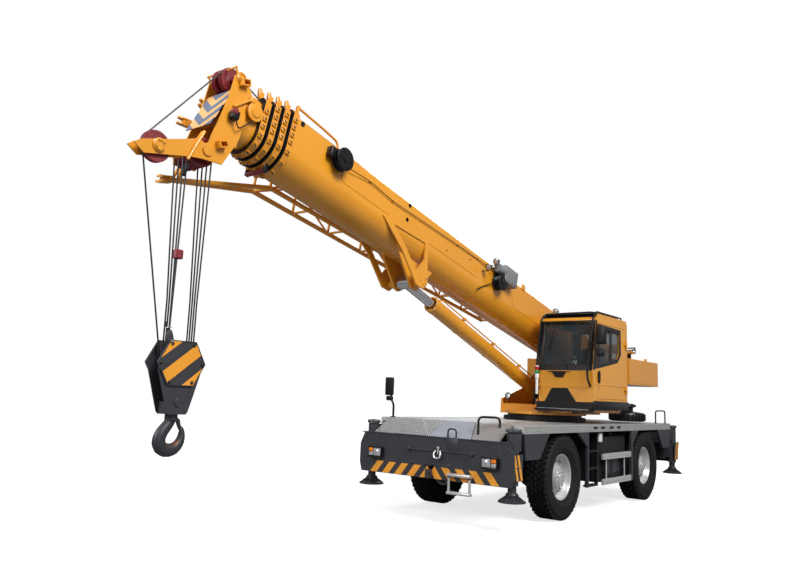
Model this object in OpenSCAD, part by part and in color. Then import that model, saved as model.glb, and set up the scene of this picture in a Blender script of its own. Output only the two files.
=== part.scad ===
// Two-axle rough-terrain mobile crane, millimetres.
// X points forward, Y to the left, Z up; the origin is on the ground under the slewing axis.

/* [Carrier] */
// Distance between the two axles
wheelbase = 3680; // [3500:10:3900]
// Distance between the middles of the two tyres of an axle
track = 2180; // [2140:10:2240]
// Height of the walking deck
deck_z = 1450; // [1430:5:1500]
// Half the width of the deck
deck_half = 1300; // [1280:5:1330]
// From an axle to the middle of the outrigger box beyond it
overhang = 1640; // [1600:10:1700]
// Half the width of the main frame
frame_half = 430; // [400:5:470]

/* [Wheels] */
// Outer radius of the tyre, at the tips of its lugs
tyre_r = 650; // [630:5:670]
// Width of the tyre
tyre_w = 385; // [360:5:400]
// Radius of the rim's flange
rim_r = 352; // [340:2:360]
// Lugs on each half of the tread
lug_count = 20; // [16:1:24]
// From the tyre's middle plane in to the kingpin
kingpin_offset = 250; // [235:5:265]

/* [Outriggers] */
// Sideways place of the jacks
jack_y = 1250; // [1230:5:1280]
// Radius of the jack's outer tube
jack_r = 85; // [75:5:90]
// Radius of the float under the jack
float_r = 185; // [160:5:200]
// Height of the raised float over the ground
float_z = 412; // [380:4:440]

/* [Turret] */
// Radius of the slewing ring
ring_r = 740; // [700:10:780]
// Height of the turret's base plate
turret_z = 1568; // [1560:2:1590]
// Lower pin of the lift cylinder, along X
lift_foot_x = -717; // [-760:4:-660]
// Lower pin of the lift cylinder, height
lift_foot_z = 1800; // [1780:4:1830]
// Rear face of the counterweight
weight_rear = -3300; // [-3400:10:-3200]
// Half the width of the counterweight
weight_half = 1100; // [1050:10:1150]

/* [Cab] */
// Front of the cab
cab_front = 790; // [750:10:830]
// Rear of the cab
cab_rear = -820; // [-860:10:-780]
// Left face of the cab
cab_left = 1280; // [1250:10:1300]
// Right face of the cab
cab_right = 250; // [220:5:290]
// Underside of the cab
cab_floor = 1690; // [1680:5:1710]
// Top of the cab
cab_roof = 3350; // [3300:10:3400]

/* [Boom] */
// Angle of the boom above level, as it stands
boom_rest = 12.5; // [10:0.5:15]
// Middle plane of the boom
boom_y = -250; // [-270:5:-240]
// Foot pin of the boom, along X
foot_x = -1557; // [-1580:4:-1530]
// Foot pin of the boom, height
foot_z = 2574; // [2550:4:2600]
// Radius of the base section's rounded underside
boom_r = 310; // [300:2:320]
// Front end of the base section, measured from the foot pin
boom_len = 8780; // [8500:20:9000]
// Front of each section ahead of the one around it
section_lead = 130; // [110:5:140]
// Pin of the lift cylinder, measured along the boom
lift_pin = 5720; // [5600:20:5800]

/* [Hook] */
// Top of the hook block
block_top = 2275; // [2240:5:2400]
// Radius of the rope sheaves
sheave_r = 165; // [150:5:180]

/* [Hidden] */
$fn = 48;
e = 0.01;
axle_x = wheelbase / 2;
axle_z = tyre_r;
wheel_y = track / 2;
kingpin_y = wheel_y - kingpin_offset;
box_x = axle_x + overhang;
box_half_x = 150;
box_half_y = jack_y - 100;
slope_half = deck_half - 180;
tank_out = deck_half - 110;
tank_in = frame_half + 210;
beam_z0 = 740;
beam_h = 280;
beam_t = 118;
deck_t = 8;
rail_h = 120;
deck_end = box_x - box_half_x - 90;
bumper_x = box_x + box_half_x;
bumper_t = 20;
rail_z0 = 870;
rail_z1 = deck_z - 130;
panel_t = 40;
side_x = axle_x - 800;
plate_in = 340;
plate_t = 40;
wall = 45;
glass_t = 8;
zc = 200;
boom_top = zc + 475;
section_step = 22;
sheet = 8;
lift_z = -360;
slide_gap = 0.5;
fit = 0.4;
rope_r = 9;
boom_end = boom_len + 340;
head_x = boom_end + 600;
head_z = -375;
hang_x = foot_x + head_x * cos(boom_rest) - head_z * sin(boom_rest);
hang_z = foot_z + head_x * sin(boom_rest) + head_z * cos(boom_rest);
lift_bx = foot_x + lift_pin * cos(boom_rest) - lift_z * sin(boom_rest);
lift_bz = foot_z + lift_pin * sin(boom_rest) + lift_z * cos(boom_rest);
lift_ang = atan2(lift_bz - lift_foot_z, lift_bx - lift_foot_x);
lift_len = norm([lift_bx - lift_foot_x, lift_bz - lift_foot_z]);
barrel_r = 122;
barrel_end = lift_len - 760;
rod_r = 72;
eye_r = 90;
block_z = block_top - 235;
cross_z = block_top - 760;
nose_x = boom_end + 1146;
nose_y = 171;
nose_z = -620;
top_x = boom_end + 445;
top_z = 643;
door_x0 = cab_rear + 100;
door_x1 = cab_front - 190;
door_z0 = cab_floor + 190;
door_z1 = cab_roof - 160;
door_gap = 6;

// Plain shapes that the sub-parts share
module box(x0, x1, y0, y1, z0, z1) {
    translate([x0, y0, z0]) cube([x1 - x0, y1 - y0, z1 - z0]);
}
module xcyl(x0, x1, y, z, r) {
    translate([x0, y, z]) rotate([0, 90, 0]) cylinder(r = r, h = x1 - x0);
}
module ycyl(x, y0, y1, z, r) {
    translate([x, y0, z]) rotate([-90, 0, 0]) cylinder(r = r, h = y1 - y0);
}
module zcyl(x, y, z0, z1, r) {
    translate([x, y, z0]) cylinder(r = r, h = z1 - z0);
}
// Outline in X and Z, as thick as y0 to y1
module side_plate(points, y0, y1) {
    translate([0, y1, 0]) rotate([90, 0, 0]) linear_extrude(y1 - y0) polygon(points);
}
// Outline in Y and Z, as thick as x0 to x1
module front_plate(points, x0, x1) {
    translate([x0, 0, 0]) rotate([90, 0, 90]) linear_extrude(x1 - x0) polygon(points);
}
module both_sides() {
    children();
    mirror([0, 1, 0]) children();
}
module both_ends() {
    children();
    mirror([1, 0, 0]) children();
}
// A round bar from a to b
module bar(a, b, r) {
    d = b - a;
    l = norm(d);
    translate(a) rotate([0, acos(d[2] / l), atan2(d[1], d[0])]) cylinder(r = r, h = l);
}
// A tube with a square corner block at each bend
module path(points, r) {
    for (i = [0 : len(points) - 2]) bar(points[i], points[i + 1], r);
    for (i = [1 : len(points) - 2]) translate(points[i]) cube(r * 2.24, center = true);
}

// Carrier
module chassis_frame() {
    color("dimgray") {
        both_sides()
            box(-(box_x - box_half_x), box_x - box_half_x, frame_half - 60, frame_half, rail_z0, rail_z1);
        for (s = [-1, 1], x = [700, axle_x - 330, axle_x + 330, axle_x + 1000])
            box(s * x - 30, s * x + 30, -frame_half + 59, frame_half - 59, rail_z0 + 250, rail_z1);
        difference() {
            zcyl(0, 0, rail_z1 - 40, rail_z1, ring_r + 30);
            zcyl(0, 0, rail_z1 - 50, rail_z1 + 10, 300);
        }
        for (x = [-axle_x + 200, axle_x - 200])
            box(x - 60, x + 60, -frame_half, frame_half, rail_z1 - 200, rail_z1 - 20);
        for (s = [-1, 1]) both_sides() {
            x = s * (axle_x + 1150);
            box(x - 30, x + 30, frame_half - e, deck_half - 100, rail_z1 - 60, rail_z1);
            box(s * 900 - 30, s * 900 + 30, frame_half - e, deck_half - 100, rail_z1 - 60, rail_z1);
        }
    }
}
module outrigger_box() {
    difference() {
        box(box_x - box_half_x, box_x + box_half_x, -box_half_y, box_half_y,
            beam_z0 - 30, beam_z0 + beam_h + 30);
        for (s = [-1, 1])
            box(box_x + s * 71 - 65, box_x + s * 71 + 65, -box_half_y - 1, box_half_y + 1,
                beam_z0 - fit, beam_z0 + beam_h + 8);
    }
    both_sides() box(box_x - box_half_x, box_x - 60, frame_half - 60, frame_half,
        beam_z0 + beam_h + 30 - e, rail_z1);
}
module front_outrigger_box() {
    color("dimgray") outrigger_box();
}
module rear_outrigger_box() {
    color("dimgray") mirror([1, 0, 0]) outrigger_box();
}
module front_bumper() {
    top = deck_z - 228;
    half = jack_y + 120;
    color("dimgray") difference() {
        union() {
            front_plate([[-half + 40, 620], [half - 40, 620], [half, 760], [half, 1040], [half - 85, top],
                [-half + 85, top], [-half, 1040], [-half, 760]], bumper_x, bumper_x + bumper_t);
            box(bumper_x + bumper_t - e, bumper_x + 140, -22, 22, 640, 760);
            for (y = [355, 705])
                path([[bumper_x + 10, y, 700], [bumper_x + 75, y, 690], [bumper_x + 75, y, 470]], 16);
            box(bumper_x + 40, bumper_x + 110, 340, 720, 450, 480);
        }
        ycyl(bumper_x + 100, -30, 30, 700, 27);
    }
}
module rear_bumper() {
    color("dimgray") mirror([1, 0, 0]) {
        front_plate([[-jack_y, 640], [jack_y, 640], [jack_y, 1170], [jack_y - 100, 1300], [100 - jack_y, 1300],
            [-jack_y, 1170]], bumper_x, bumper_x + bumper_t);
        difference() {
            box(bumper_x + bumper_t - e, bumper_x + 140, -22, 22, 640, 760);
            ycyl(bumper_x + 100, -30, 30, 700, 27);
        }
    }
}
module front_slope() {
    color("silver") side_plate([[deck_end, deck_z], [bumper_x, deck_z - 232], [bumper_x, deck_z - 246],
        [deck_end, deck_z - 14]], -slope_half, slope_half);
}
module deck() {
    color("silver") {
        difference() {
            box(-deck_end, deck_end, -deck_half + 30, deck_half - 30, deck_z - deck_t, deck_z);
            zcyl(0, 0, deck_z - 20, deck_z + 20, ring_r + 25);
        }
        both_sides() front_plate(concat([[deck_half - 40, deck_z], [deck_half - 40, deck_z - rail_h]],
            [for (i = [0 : 5], p = [[0, 0], [0, 12], [-8, 14], [-8, 18]])
            [deck_half + p[0], deck_z - rail_h + i * 20 + p[1]]], [[deck_half - 8, deck_z]]),
            -deck_end, deck_end);
        for (x = [-deck_end + 30, deck_end - 30])
            box(x - 30, x + 30, -deck_half + 20, deck_half - 20, deck_z - 60, deck_z - deck_t + e);
    }
}
module fenders() {
    top = deck_z - rail_h;
    color("dimgray") both_sides() both_ends()
        side_plate([[axle_x + 590, top], [axle_x + 915, top - 365], [deck_end - 50, top - 365],
            [deck_end, top]], deck_half - panel_t, deck_half);
    color("dimgray") both_sides()
        side_plate([[-side_x - 300, top], [-side_x, top - 235], [-side_x, 440], [-side_x + 80, 440],
            [-side_x + 80, top]], deck_half - panel_t, deck_half);
    color("dimgray") both_sides()
        side_plate([[side_x - 60, top], [side_x - 60, 440], [side_x, 440], [side_x, top - 235],
            [side_x + 370, top]], deck_half - panel_t, deck_half);
}
module tank() {
    box(-side_x + 130, 400, tank_in, tank_out, 470, 1230);
    for (x = [-600, 100]) box(x - 40, x + 40, frame_half, tank_in + 1, 900, 1180);
}
module fuel_tank() {
    color("dimgray") tank();
}
module hydraulic_tank() {
    color("dimgray") mirror([0, 1, 0]) tank();
}
module ladders() {
    y = deck_half - 70;
    top = deck_z - rail_h - 60;
    color("black") both_sides() {
        for (x = [side_x - 520, side_x - 120]) box(x - 20, x + 20, y - 25, y + 25, 430, top + 40);
        for (z = [450, 730, 1010]) box(side_x - 521, side_x - 119, y - 60, y + 30, z - 15, z + 15);
        for (x = [side_x - 520, side_x - 120])
            box(x - 20, x + 20, y - 26, deck_half - panel_t, top, top + 40);
    }
}
module step_bars() {
    color("silver") both_sides() {
        for (z = [480, 905]) box(-side_x + 80 + fit, 370, deck_half - 40, deck_half - 5, z - 48, z + 48);
        for (x = [-700, 150]) box(x - 25, x + 25, tank_out, deck_half - 39, 480, 950);
    }
}
module headlamps() {
    color("white") both_sides() {
        box(bumper_x + bumper_t, bumper_x + 90, jack_y - 356, jack_y - 110, 850, 1007);
        ycyl(bumper_x + 60, jack_y - 110, jack_y - 85, 930, 40);
    }
}
module handrails() {
    x0 = bumper_x - 130;
    rail_y = deck_half - 80;
    post_x = deck_end - 80;
    color("black") {
        difference() {
            path([[x0, slope_half - 420, deck_z - 180], [x0, slope_half - 420, deck_z + 95],
                [x0 - 180, slope_half - 170, deck_z + 95], [x0 - 180, slope_half - 170, deck_z - 80]], 17);
            side_plate([[deck_end, deck_z + fit], [bumper_x, deck_z - 232 + fit], [bumper_x, deck_z - 400],
                [deck_end, deck_z - 400]], slope_half - 520, slope_half - 20);
        }
        both_sides() path([[-2560, rail_y, deck_z + fit], [-2560, rail_y, deck_z + 255],
            [-3150, rail_y, deck_z + 255], [-3150, rail_y, deck_z + fit]], 14);
        // Mirror post at the front right corner
        path([[post_x, -slope_half, deck_z + fit], [post_x, -slope_half, deck_z + 560],
            [post_x + 60, -slope_half - 60, deck_z + 620]], 17);
        box(post_x + 30, post_x + 70, -slope_half - 150, 30 - slope_half, deck_z + 430, deck_z + 640);
        box(post_x + 30, post_x + 70, -slope_half - 120, 20 - slope_half, deck_z + 250, deck_z + 400);
        bar([post_x, -slope_half, deck_z + 320], [post_x + 50, -slope_half - 30, deck_z + 320], 12);
    }
}
// Axle beam with its differential, spring seats and the forks that hold the kingpins
module axle() {
    color("dimgray") difference() {
        union() {
            ycyl(axle_x, -kingpin_y + 95, kingpin_y - 95, axle_z, 105);
            translate([axle_x, 0, axle_z]) sphere(205);
            xcyl(axle_x - 330, axle_x, 0, axle_z, 85);
            both_sides() {
                box(axle_x - 110, axle_x + 110, frame_half - 70, frame_half + 10, axle_z, rail_z0);
                box(axle_x - 80, axle_x + 80, kingpin_y - 190, kingpin_y - 100, axle_z - 210, axle_z + 210);
                for (s = [-1, 1])
                    box(axle_x - 75, axle_x + 75, kingpin_y - 110, kingpin_y + 50,
                        axle_z + s * 190 - 20, axle_z + s * 190 + 20);
            }
        }
        both_sides() zcyl(axle_x, kingpin_y, 0, 2 * axle_z, 45 + fit);
    }
}
module front_axle() {
    axle();
}
module rear_axle() {
    mirror([1, 0, 0]) axle();
}
module driveline() {
    color("dimgray") {
        box(-330, 330, -260, 260, 560, 940);
        both_sides() box(-200, 200, 259, frame_half - 60, 880, 940);
        for (s = [-1, 1]) bar([s * 300, 0, 650], [s * (axle_x - 345), 0, axle_z], 48);
        both_ends() xcyl(axle_x - 380, axle_x - 330, 0, axle_z, 90);
    }
}
module engine_block() {
    color("dimgray") {
        box(-axle_x - 1250, -axle_x - 360, -300, 300, 640, rail_z0 + 230);
        both_sides() box(-axle_x - 1000, -axle_x - 700, 299, frame_half - 60, 900, 1000);
    }
}
module slew_ring() {
    color("black") difference() {
        union() {
            zcyl(0, 0, rail_z1, turret_z - 40, ring_r);
            zcyl(0, 0, turret_z - 41, turret_z - slide_gap, ring_r - 60);
            for (a = [6 : 12 : 354]) rotate([0, 0, a])
                box(ring_r - 20, ring_r + 14, -30, 30, turret_z - 100, turret_z - 52);
        }
        zcyl(0, 0, rail_z1 - 10, turret_z + 10, ring_r - 200);
    }
}

// Wheels: each of these is drawn for the front left corner
module corner(front, left) {
    mirror([front ? 0 : 1, 0, 0]) mirror([0, left ? 0 : 1, 0]) children();
}
module knuckle() {
    color("dimgray") {
        zcyl(axle_x, kingpin_y, axle_z - 164, axle_z + 164, 80);
        zcyl(axle_x, kingpin_y, axle_z - 205, axle_z + 205, 45);
        ycyl(axle_x, kingpin_y, wheel_y - 8, axle_z, 78);
    }
}
function bulge(r) = tyre_w / 2 * (1 - 0.16 * pow(abs(r - (rim_r + tyre_r) / 2) / (tyre_r - rim_r) * 2, 3));
module tyre() {
    seat = rim_r - 27;
    bead = 113;
    body = tyre_r - 26;
    steps = [for (i = [0 : 10]) rim_r + 25 + (body - rim_r - 25) * i / 10];
    color([0.13, 0.13, 0.14]) translate([axle_x, wheel_y, axle_z]) rotate([90, 0, 0]) {
        rotate_extrude($fn = 72) polygon(concat([[seat, -bead], [rim_r, -bead]],
            [for (r = steps) [r, -bulge(r)]],
            [for (i = [len(steps) - 1 : -1 : 0]) [steps[i], bulge(steps[i])]],
            [[rim_r, bead], [seat, bead]]));
        intersection() {
            cylinder(r = tyre_r, h = tyre_w - 60, center = true, $fn = 72);
            for (s = [-1, 1], i = [0 : lug_count - 1])
                rotate([0, 0, (i + (s > 0 ? 0.5 : 0)) * 360 / lug_count])
                    translate([tyre_r - 36, -45, s > 0 ? 14 : -tyre_w / 2])
                        cube([50, 90, tyre_w / 2 - 14]);
        }
    }
}
module rim() {
    seat = rim_r - 27;
    color("silver") translate([axle_x, wheel_y, axle_z]) rotate([-90, 0, 0]) difference() {
        rotate_extrude() polygon([[0, 100], [150, 100], [160, 40], [seat - 20, 20], [seat - 20, 127],
            [rim_r, 127], [rim_r, 113], [seat, 113], [seat, -113], [rim_r, -113], [rim_r, -127], [seat - 20, -127],
            [seat - 20, -5], [150, 5], [150, -90], [78 + fit, -90], [78 + fit, -4], [0, -4]]);
        for (a = [0 : 36 : 324]) rotate([0, 0, a]) translate([230, 0, -30]) cylinder(r = 28, h = 80);
    }
}
module knuckle_fl() { corner(true, true) knuckle(); }
module knuckle_fr() { corner(true, false) knuckle(); }
module knuckle_rl() { corner(false, true) knuckle(); }
module knuckle_rr() { corner(false, false) knuckle(); }
module tyre_fl() { corner(true, true) tyre(); }
module tyre_fr() { corner(true, false) tyre(); }
module tyre_rl() { corner(false, true) tyre(); }
module tyre_rr() { corner(false, false) tyre(); }
module rim_fl() { corner(true, true) rim(); }
module rim_fr() { corner(true, false) rim(); }
module rim_rl() { corner(false, true) rim(); }
module rim_rr() { corner(false, false) rim(); }

// Outriggers: each beam has its own channel in the box, the left ones the rear of it
module beam(channel) {
    x = box_x + channel * 71;
    color("dimgray") difference() {
        union() {
            box(x - beam_t / 2, x + beam_t / 2, -box_half_y + 60, box_half_y + 20, beam_z0, beam_z0 + beam_h);
            box(box_x - 130, box_x + 130, box_half_y + 8, jack_y, beam_z0, beam_z0 + beam_h);
            zcyl(box_x, jack_y, 640, deck_z - 60, jack_r);
            box(box_x - 120, box_x + 120, jack_y + jack_r - 3, jack_y + jack_r + 12,
                beam_z0 - 40, beam_z0 + beam_h + 40);
        }
        zcyl(box_x, jack_y, 600, deck_z - 80, jack_r - 25 + fit);
    }
}
module jack() {
    color("dimgray") {
        zcyl(box_x, jack_y, float_z + 50, deck_z - 110, jack_r - 25);
        translate([box_x, jack_y, 0]) rotate_extrude() polygon([[0, float_z], [float_r, float_z],
            [float_r, float_z + 18], [jack_r, float_z + 60], [jack_r, float_z + 90], [0, float_z + 90]]);
    }
}
module beam_fl() { corner(true, true) beam(-1); }
module beam_fr() { corner(true, false) beam(1); }
module beam_rl() { corner(false, true) beam(-1); }
module beam_rr() { corner(false, false) beam(1); }
module jack_fl() { corner(true, true) jack(); }
module jack_fr() { corner(true, false) jack(); }
module jack_rl() { corner(false, true) jack(); }
module jack_rr() { corner(false, false) jack(); }

// Turret
module turret_frame() {
    top = turret_z + 44;
    color("orange") difference() {
        union() {
            zcyl(0, 0, turret_z, top, ring_r + 20);
            zcyl(0, 0, turret_z - 70, turret_z + e, ring_r - 205);
            box(-2350, 540, boom_y - plate_in - plate_t, boom_y + plate_in + plate_t, turret_z, top);
            for (s = [-1, 1]) translate([0, boom_y + s * (plate_in + plate_t / 2), 0])
                side_plate([[-2350, top - e], [540, top - e], [520, 1840], [-250, 2050],
                    [foot_x + 300, foot_z + 130], [foot_x + 130, foot_z + 190], [foot_x - 130, foot_z + 190],
                    [foot_x - 330, foot_z], [-2350, 2150]], -plate_t / 2, plate_t / 2);
            ycyl(foot_x, boom_y - plate_in - plate_t - 30, boom_y + plate_in + plate_t + 30, foot_z, 60);
            for (s = [-1, 1]) translate([0, boom_y + s * 165, 0])
                side_plate([[lift_foot_x - 220, top - e], [lift_foot_x + 220, top - e],
                    [lift_foot_x + 110, lift_foot_z + 90], [lift_foot_x - 110, lift_foot_z + 90]], -25, 25);
            ycyl(lift_foot_x, boom_y - 200, boom_y + 200, lift_foot_z, 55);
            box(480, 520, boom_y - plate_in, boom_y + plate_in, top - e, top + 130);
            box(-2350, -2310, boom_y - plate_in, boom_y + plate_in, top - e, 2150);
            box(cab_rear + 60, cab_front - 120, boom_y + plate_in + plate_t - e, cab_left - 120,
                cab_floor - 50, cab_floor);
            for (x = [cab_rear + 200, cab_front - 260])
                box(x - 40, x + 40, boom_y + plate_in + plate_t - e, cab_left - 500, top - 1, cab_floor - 49);
        }
        zcyl(0, 0, turret_z - 100, top + 10, 200);
    }
}
module counterweight() {
    color("orange") difference() {
        translate([0, 0, 2200]) linear_extrude(490)
            polygon([[-1400, -weight_half], [-1400, weight_half], [weight_rear + 200, weight_half],
                [weight_rear, weight_half - 260], [weight_rear, 260 - weight_half],
                [weight_rear + 200, -weight_half]]);
        box(-2350, -1300, boom_y - plate_in - plate_t, boom_y + plate_in + plate_t, 2100, 2800);
        ycyl(foot_x, boom_y - plate_in - plate_t - 36, boom_y + plate_in + plate_t + 36, foot_z, 70);
    }
}
module winch() {
    x = -2780;
    z = 2990;
    y0 = boom_y - 330;
    y1 = boom_y + 330;
    color("orange") {
        for (y = [y0, y1])
            side_plate([[x - 260, 2690], [x + 230, 2690], [x + 130, z + 130], [x - 130, z + 130]],
                y - 20, y + 20);
        ycyl(x, y0, y1, z, 140);
        for (y = [y0 + 45, y1 - 45]) ycyl(x, y - 12, y + 12, z, 225);
        ycyl(x, y1, y1 + 260, z, 110);
    }
}
// Side outline of the cab, moved in by t on every side
function cab_outline(t) = [[cab_rear + t, cab_floor + t], [cab_front - 90 - t, cab_floor + t],
    [cab_front - t, cab_floor + 650], [cab_front - 130 - t, cab_roof - 100 - t],
    [cab_front - 240 - t, cab_roof - t], [cab_rear + 60 + t, cab_roof - t], [cab_rear + t, cab_roof - 80 - t]];
module cab_openings() {
    // Windscreen, right and rear windows, roof window
    box(cab_front - 300, cab_front + 50, cab_right + 70, cab_left - 90, cab_floor + 740, cab_roof - 130);
    box(cab_rear + 220, cab_front - 280, cab_right - 10, cab_right + wall + 10, cab_floor + 760, cab_roof - 200);
    box(cab_rear - 10, cab_rear + wall + 10, cab_right + 130, cab_left - 130, cab_floor + 760, cab_roof - 230);
    box(cab_rear + 350, cab_front - 420, cab_right + 150, cab_left - 150, cab_roof - wall - 10, cab_roof + 10);
}
module cab_shell() {
    color("orange") {
        difference() {
            side_plate(cab_outline(0), cab_right, cab_left);
            side_plate(cab_outline(wall), cab_right + wall, cab_left - wall);
            cab_openings();
            box(door_x0, door_x1, cab_left - wall - 10, cab_left + 10, door_z0, door_z1);
        }
        for (z = [door_z0 + 180, door_z1 - 300]) {
            box(door_x0 - 60, door_x0 - 6, cab_left - 10, cab_left + 24, z - 60, z - 8);
            zcyl(door_x0 - 6, cab_left + 24, z - 60, z - 8, 16);
            zcyl(door_x0 - 6, cab_left + 24, z - 9, z + 60, 7);
        }
    }
}
// Window of the door, whose lower edge rises to the rear
module door_window(y0, y1) {
    side_plate([[door_x1 - 90, door_z0 + 580], [door_x0 + 410, door_z0 + 730], [door_x0 + 290, door_z0 + 850],
        [door_x0 + 300, door_z1 - 100], [door_x1 - 90, door_z1 - 70]], y0, y1);
}
module cab_door() {
    color("orange") difference() {
        union() {
            box(door_x0 + door_gap, door_x1 - door_gap, cab_left - wall, cab_left,
                door_z0 + door_gap, door_z1 - door_gap);
            for (z = [door_z0 + 180, door_z1 - 300]) {
                box(door_x0 - 2, door_x0 + 60, cab_left + 1, cab_left + 30, z, z + 60);
                box(door_x0 + door_gap, door_x0 + 60, cab_left - 10, cab_left + 29, z + 1, z + 59);
                zcyl(door_x0 - 6, cab_left + 24, z, z + 60, 16);
            }
            box(door_x1 - 80, door_x1 - 40, cab_left - e, cab_left + 22, door_z0 + 270, door_z0 + 480);
        }
        for (z = [door_z0 + 180, door_z1 - 300]) zcyl(door_x0 - 6, cab_left + 24, z - 5, z + 65, 7 + fit);
        door_window(cab_left - wall - 10, cab_left + 10);
    }
}
module cab_glass() {
    mid = wall / 2 + glass_t / 2;
    color([0.6, 0.7, 0.75]) intersection() {
        difference() {
            side_plate(cab_outline(mid - glass_t), cab_right + mid - glass_t, cab_left - 70);
            side_plate(cab_outline(mid), cab_right + mid, cab_left - 75);
        }
        cab_openings();
    }
}
module door_glass() {
    y = cab_left - wall / 2;
    color([0.6, 0.7, 0.75]) door_window(y - glass_t / 2, y + glass_t / 2);
}
// Roof guard, front handrail and the mirror arm at the cab's left front
module cab_guard() {
    y = cab_left - 20;
    z = cab_roof + 45;
    color("black") {
        for (side = [cab_right + 60, cab_left - 60])
            path([[cab_rear + 150, side, cab_roof + fit], [cab_rear + 150, side, z],
                [cab_front - 300, side, z], [cab_front - 300, side, cab_roof + fit]], 14);
        for (i = [0 : 6]) {
            x = cab_rear + 220 + i * (cab_front - cab_rear - 590) / 6;
            bar([x, cab_right + 60, z], [x, cab_left - 60, z], 10);
        }
        path([[cab_front - 42, y, cab_floor + 330], [cab_front + 75, y, cab_floor + 330],
            [cab_front + 75, y, cab_floor + 1130], [cab_front - 66, y, cab_floor + 1130]], 14);
        bar([cab_front + 75, y, cab_floor + 1080], [cab_front - 30, cab_left + 100, cab_floor + 1130], 11);
        box(cab_front - 50, cab_front - 10, cab_left + 60, cab_left + 230, cab_floor + 1110, cab_floor + 1410);
    }
}
module cab_interior() {
    y = (cab_right + cab_left) / 2;
    f = cab_floor + wall;
    color("black") {
        box(cab_rear + 330, cab_rear + 780, y - 200, y + 200, f, f + 300);
        box(cab_rear + 300, cab_rear + 830, y - 250, y + 250, f + 299, f + 430);
        side_plate([[cab_rear + 300, f + 429], [cab_rear + 420, f + 429], [cab_rear + 330, f + 1120],
            [cab_rear + 230, f + 1120]], y - 230, y + 230);
        for (s = [-1, 1]) translate([0, y + s * 305, 0]) {
            box(cab_rear + 420, cab_rear + 820, -60, 60, f + 300, f + 620);
            box(cab_rear + 420, cab_rear + 700, -115, 55, f, f + 301);
        }
    }
    color("black") {
        bar([cab_front - 190, y, f + 60], [cab_front - 332, y, f + 776], 40);
        box(cab_front - 330, cab_front - 140, y - 90, y + 90, f, f + 90);
        translate([cab_front - 333, y, f + 775]) rotate([0, -11, 0]) {
            rotate_extrude() translate([190, 0]) circle(16);
            for (a = [0, 120, 240]) rotate([0, 0, a]) xcyl(0, 190, 0, 0, 11);
        }
    }
}

// Boom: everything here is drawn level, with the foot pin at the origin
module at_boom() {
    translate([foot_x, boom_y, foot_z]) rotate([0, -boom_rest, 0]) children();
}
function width_of(n) = boom_r - section_step * (n - 1);
function top_of(n) = boom_top - section_step * (n - 1);
module outline(r, top) {
    translate([0, zc]) circle(r);
    polygon([[-r, zc], [r, zc], [r, top - 50], [r - 50, top], [50 - r, top], [-r, top - 50]]);
}
module tube(x0, x1, r, top, t) {
    translate([x0, 0, 0]) rotate([90, 0, 90]) linear_extrude(x1 - x0) difference() {
        outline(r, top);
        outline(r - t, top - t);
    }
}
// Collar round the front of section n, with the guide for the next one and two upright gussets
module collar(n, x1) {
    r = width_of(n);
    top = top_of(n);
    inner = section_step - slide_gap;
    tube(x1 - 80, x1, r + 26, top + 26, 26 + inner);
    for (s = [-1, 1]) translate([0, s * r * 0.55, 0])
        side_plate([[x1 - 60, top], [x1, top], [x1, top + 60], [x1 - 15, top + 130],
            [x1 - 40, top + 130]], -8, 8);
}
module section(n, front) {
    rear = 150 + 100 * n;
    tube(rear, front, width_of(n), top_of(n), sheet);
    pad = section_step - (n == 2 ? 10 : sheet) - slide_gap;
    tube(rear, rear + 120, width_of(n) + pad, top_of(n) + pad, pad + sheet);
}
// Two plates that wrap the underside and meet at the lift cylinder's pin, stiffened by a V on each side
module lift_bracket() {
    for (s = [-1, 1]) {
        translate([0, s * (boom_r + 5), 0]) difference() {
            side_plate([[lift_pin + 40, zc + 50], [lift_pin - 20, zc - 250], [lift_pin - 100, lift_z - 20],
                [lift_pin - 20, lift_z - 100], [lift_pin + 160, lift_z - 100], [lift_pin + 600, zc - 310],
                [lift_pin + 1140, zc - 10], [lift_pin + 980, zc + 60]], -12, 12);
            side_plate([[lift_pin + 120, zc + 10], [lift_pin + 70, zc - 240], [lift_pin + 220, lift_z + 90],
                [lift_pin + 540, zc - 230], [lift_pin + 880, zc - 30]], -20, 20);
        }
        translate([0, s * 150, 0]) side_plate([[lift_pin - 420, zc - 200], [lift_pin + 560, zc - 200],
            [lift_pin + 110, lift_z - 60], [lift_pin + 40, lift_z - 110], [lift_pin - 40, lift_z - 110],
            [lift_pin - 110, lift_z - 60]], -18, 18);
        ycyl(lift_pin, min(s * 116, s * 320), max(s * 116, s * 320), lift_z, 66);
    }
}
module boom_base() {
    color("orange") at_boom() {
        difference() {
            union() {
                tube(-220, boom_len, boom_r, boom_top, 10);
                difference() {
                    lift_bracket();
                    translate([-300, 0, 0]) rotate([90, 0, 90])
                        linear_extrude(boom_len) outline(boom_r - 5, boom_top);
                }
                for (s = [-1, 1]) ycyl(0, min(s * 300, s * 334), max(s * 300, s * 334), 0, 130);
            }
            ycyl(0, -400, 400, 0, 60 + fit);
        }
        collar(1, boom_len);
    }
}
module boom_section_2() {
    color("orange") at_boom() {
        section(2, boom_len + section_lead);
        collar(2, boom_len + section_lead);
    }
}
module boom_section_3() {
    color("orange") at_boom() {
        section(3, boom_len + 2 * section_lead);
        collar(3, boom_len + 2 * section_lead);
    }
}
module boom_section_4() {
    color("orange") at_boom() {
        section(4, boom_len + 3 * section_lead);
        collar(4, boom_len + 3 * section_lead);
    }
}
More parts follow.
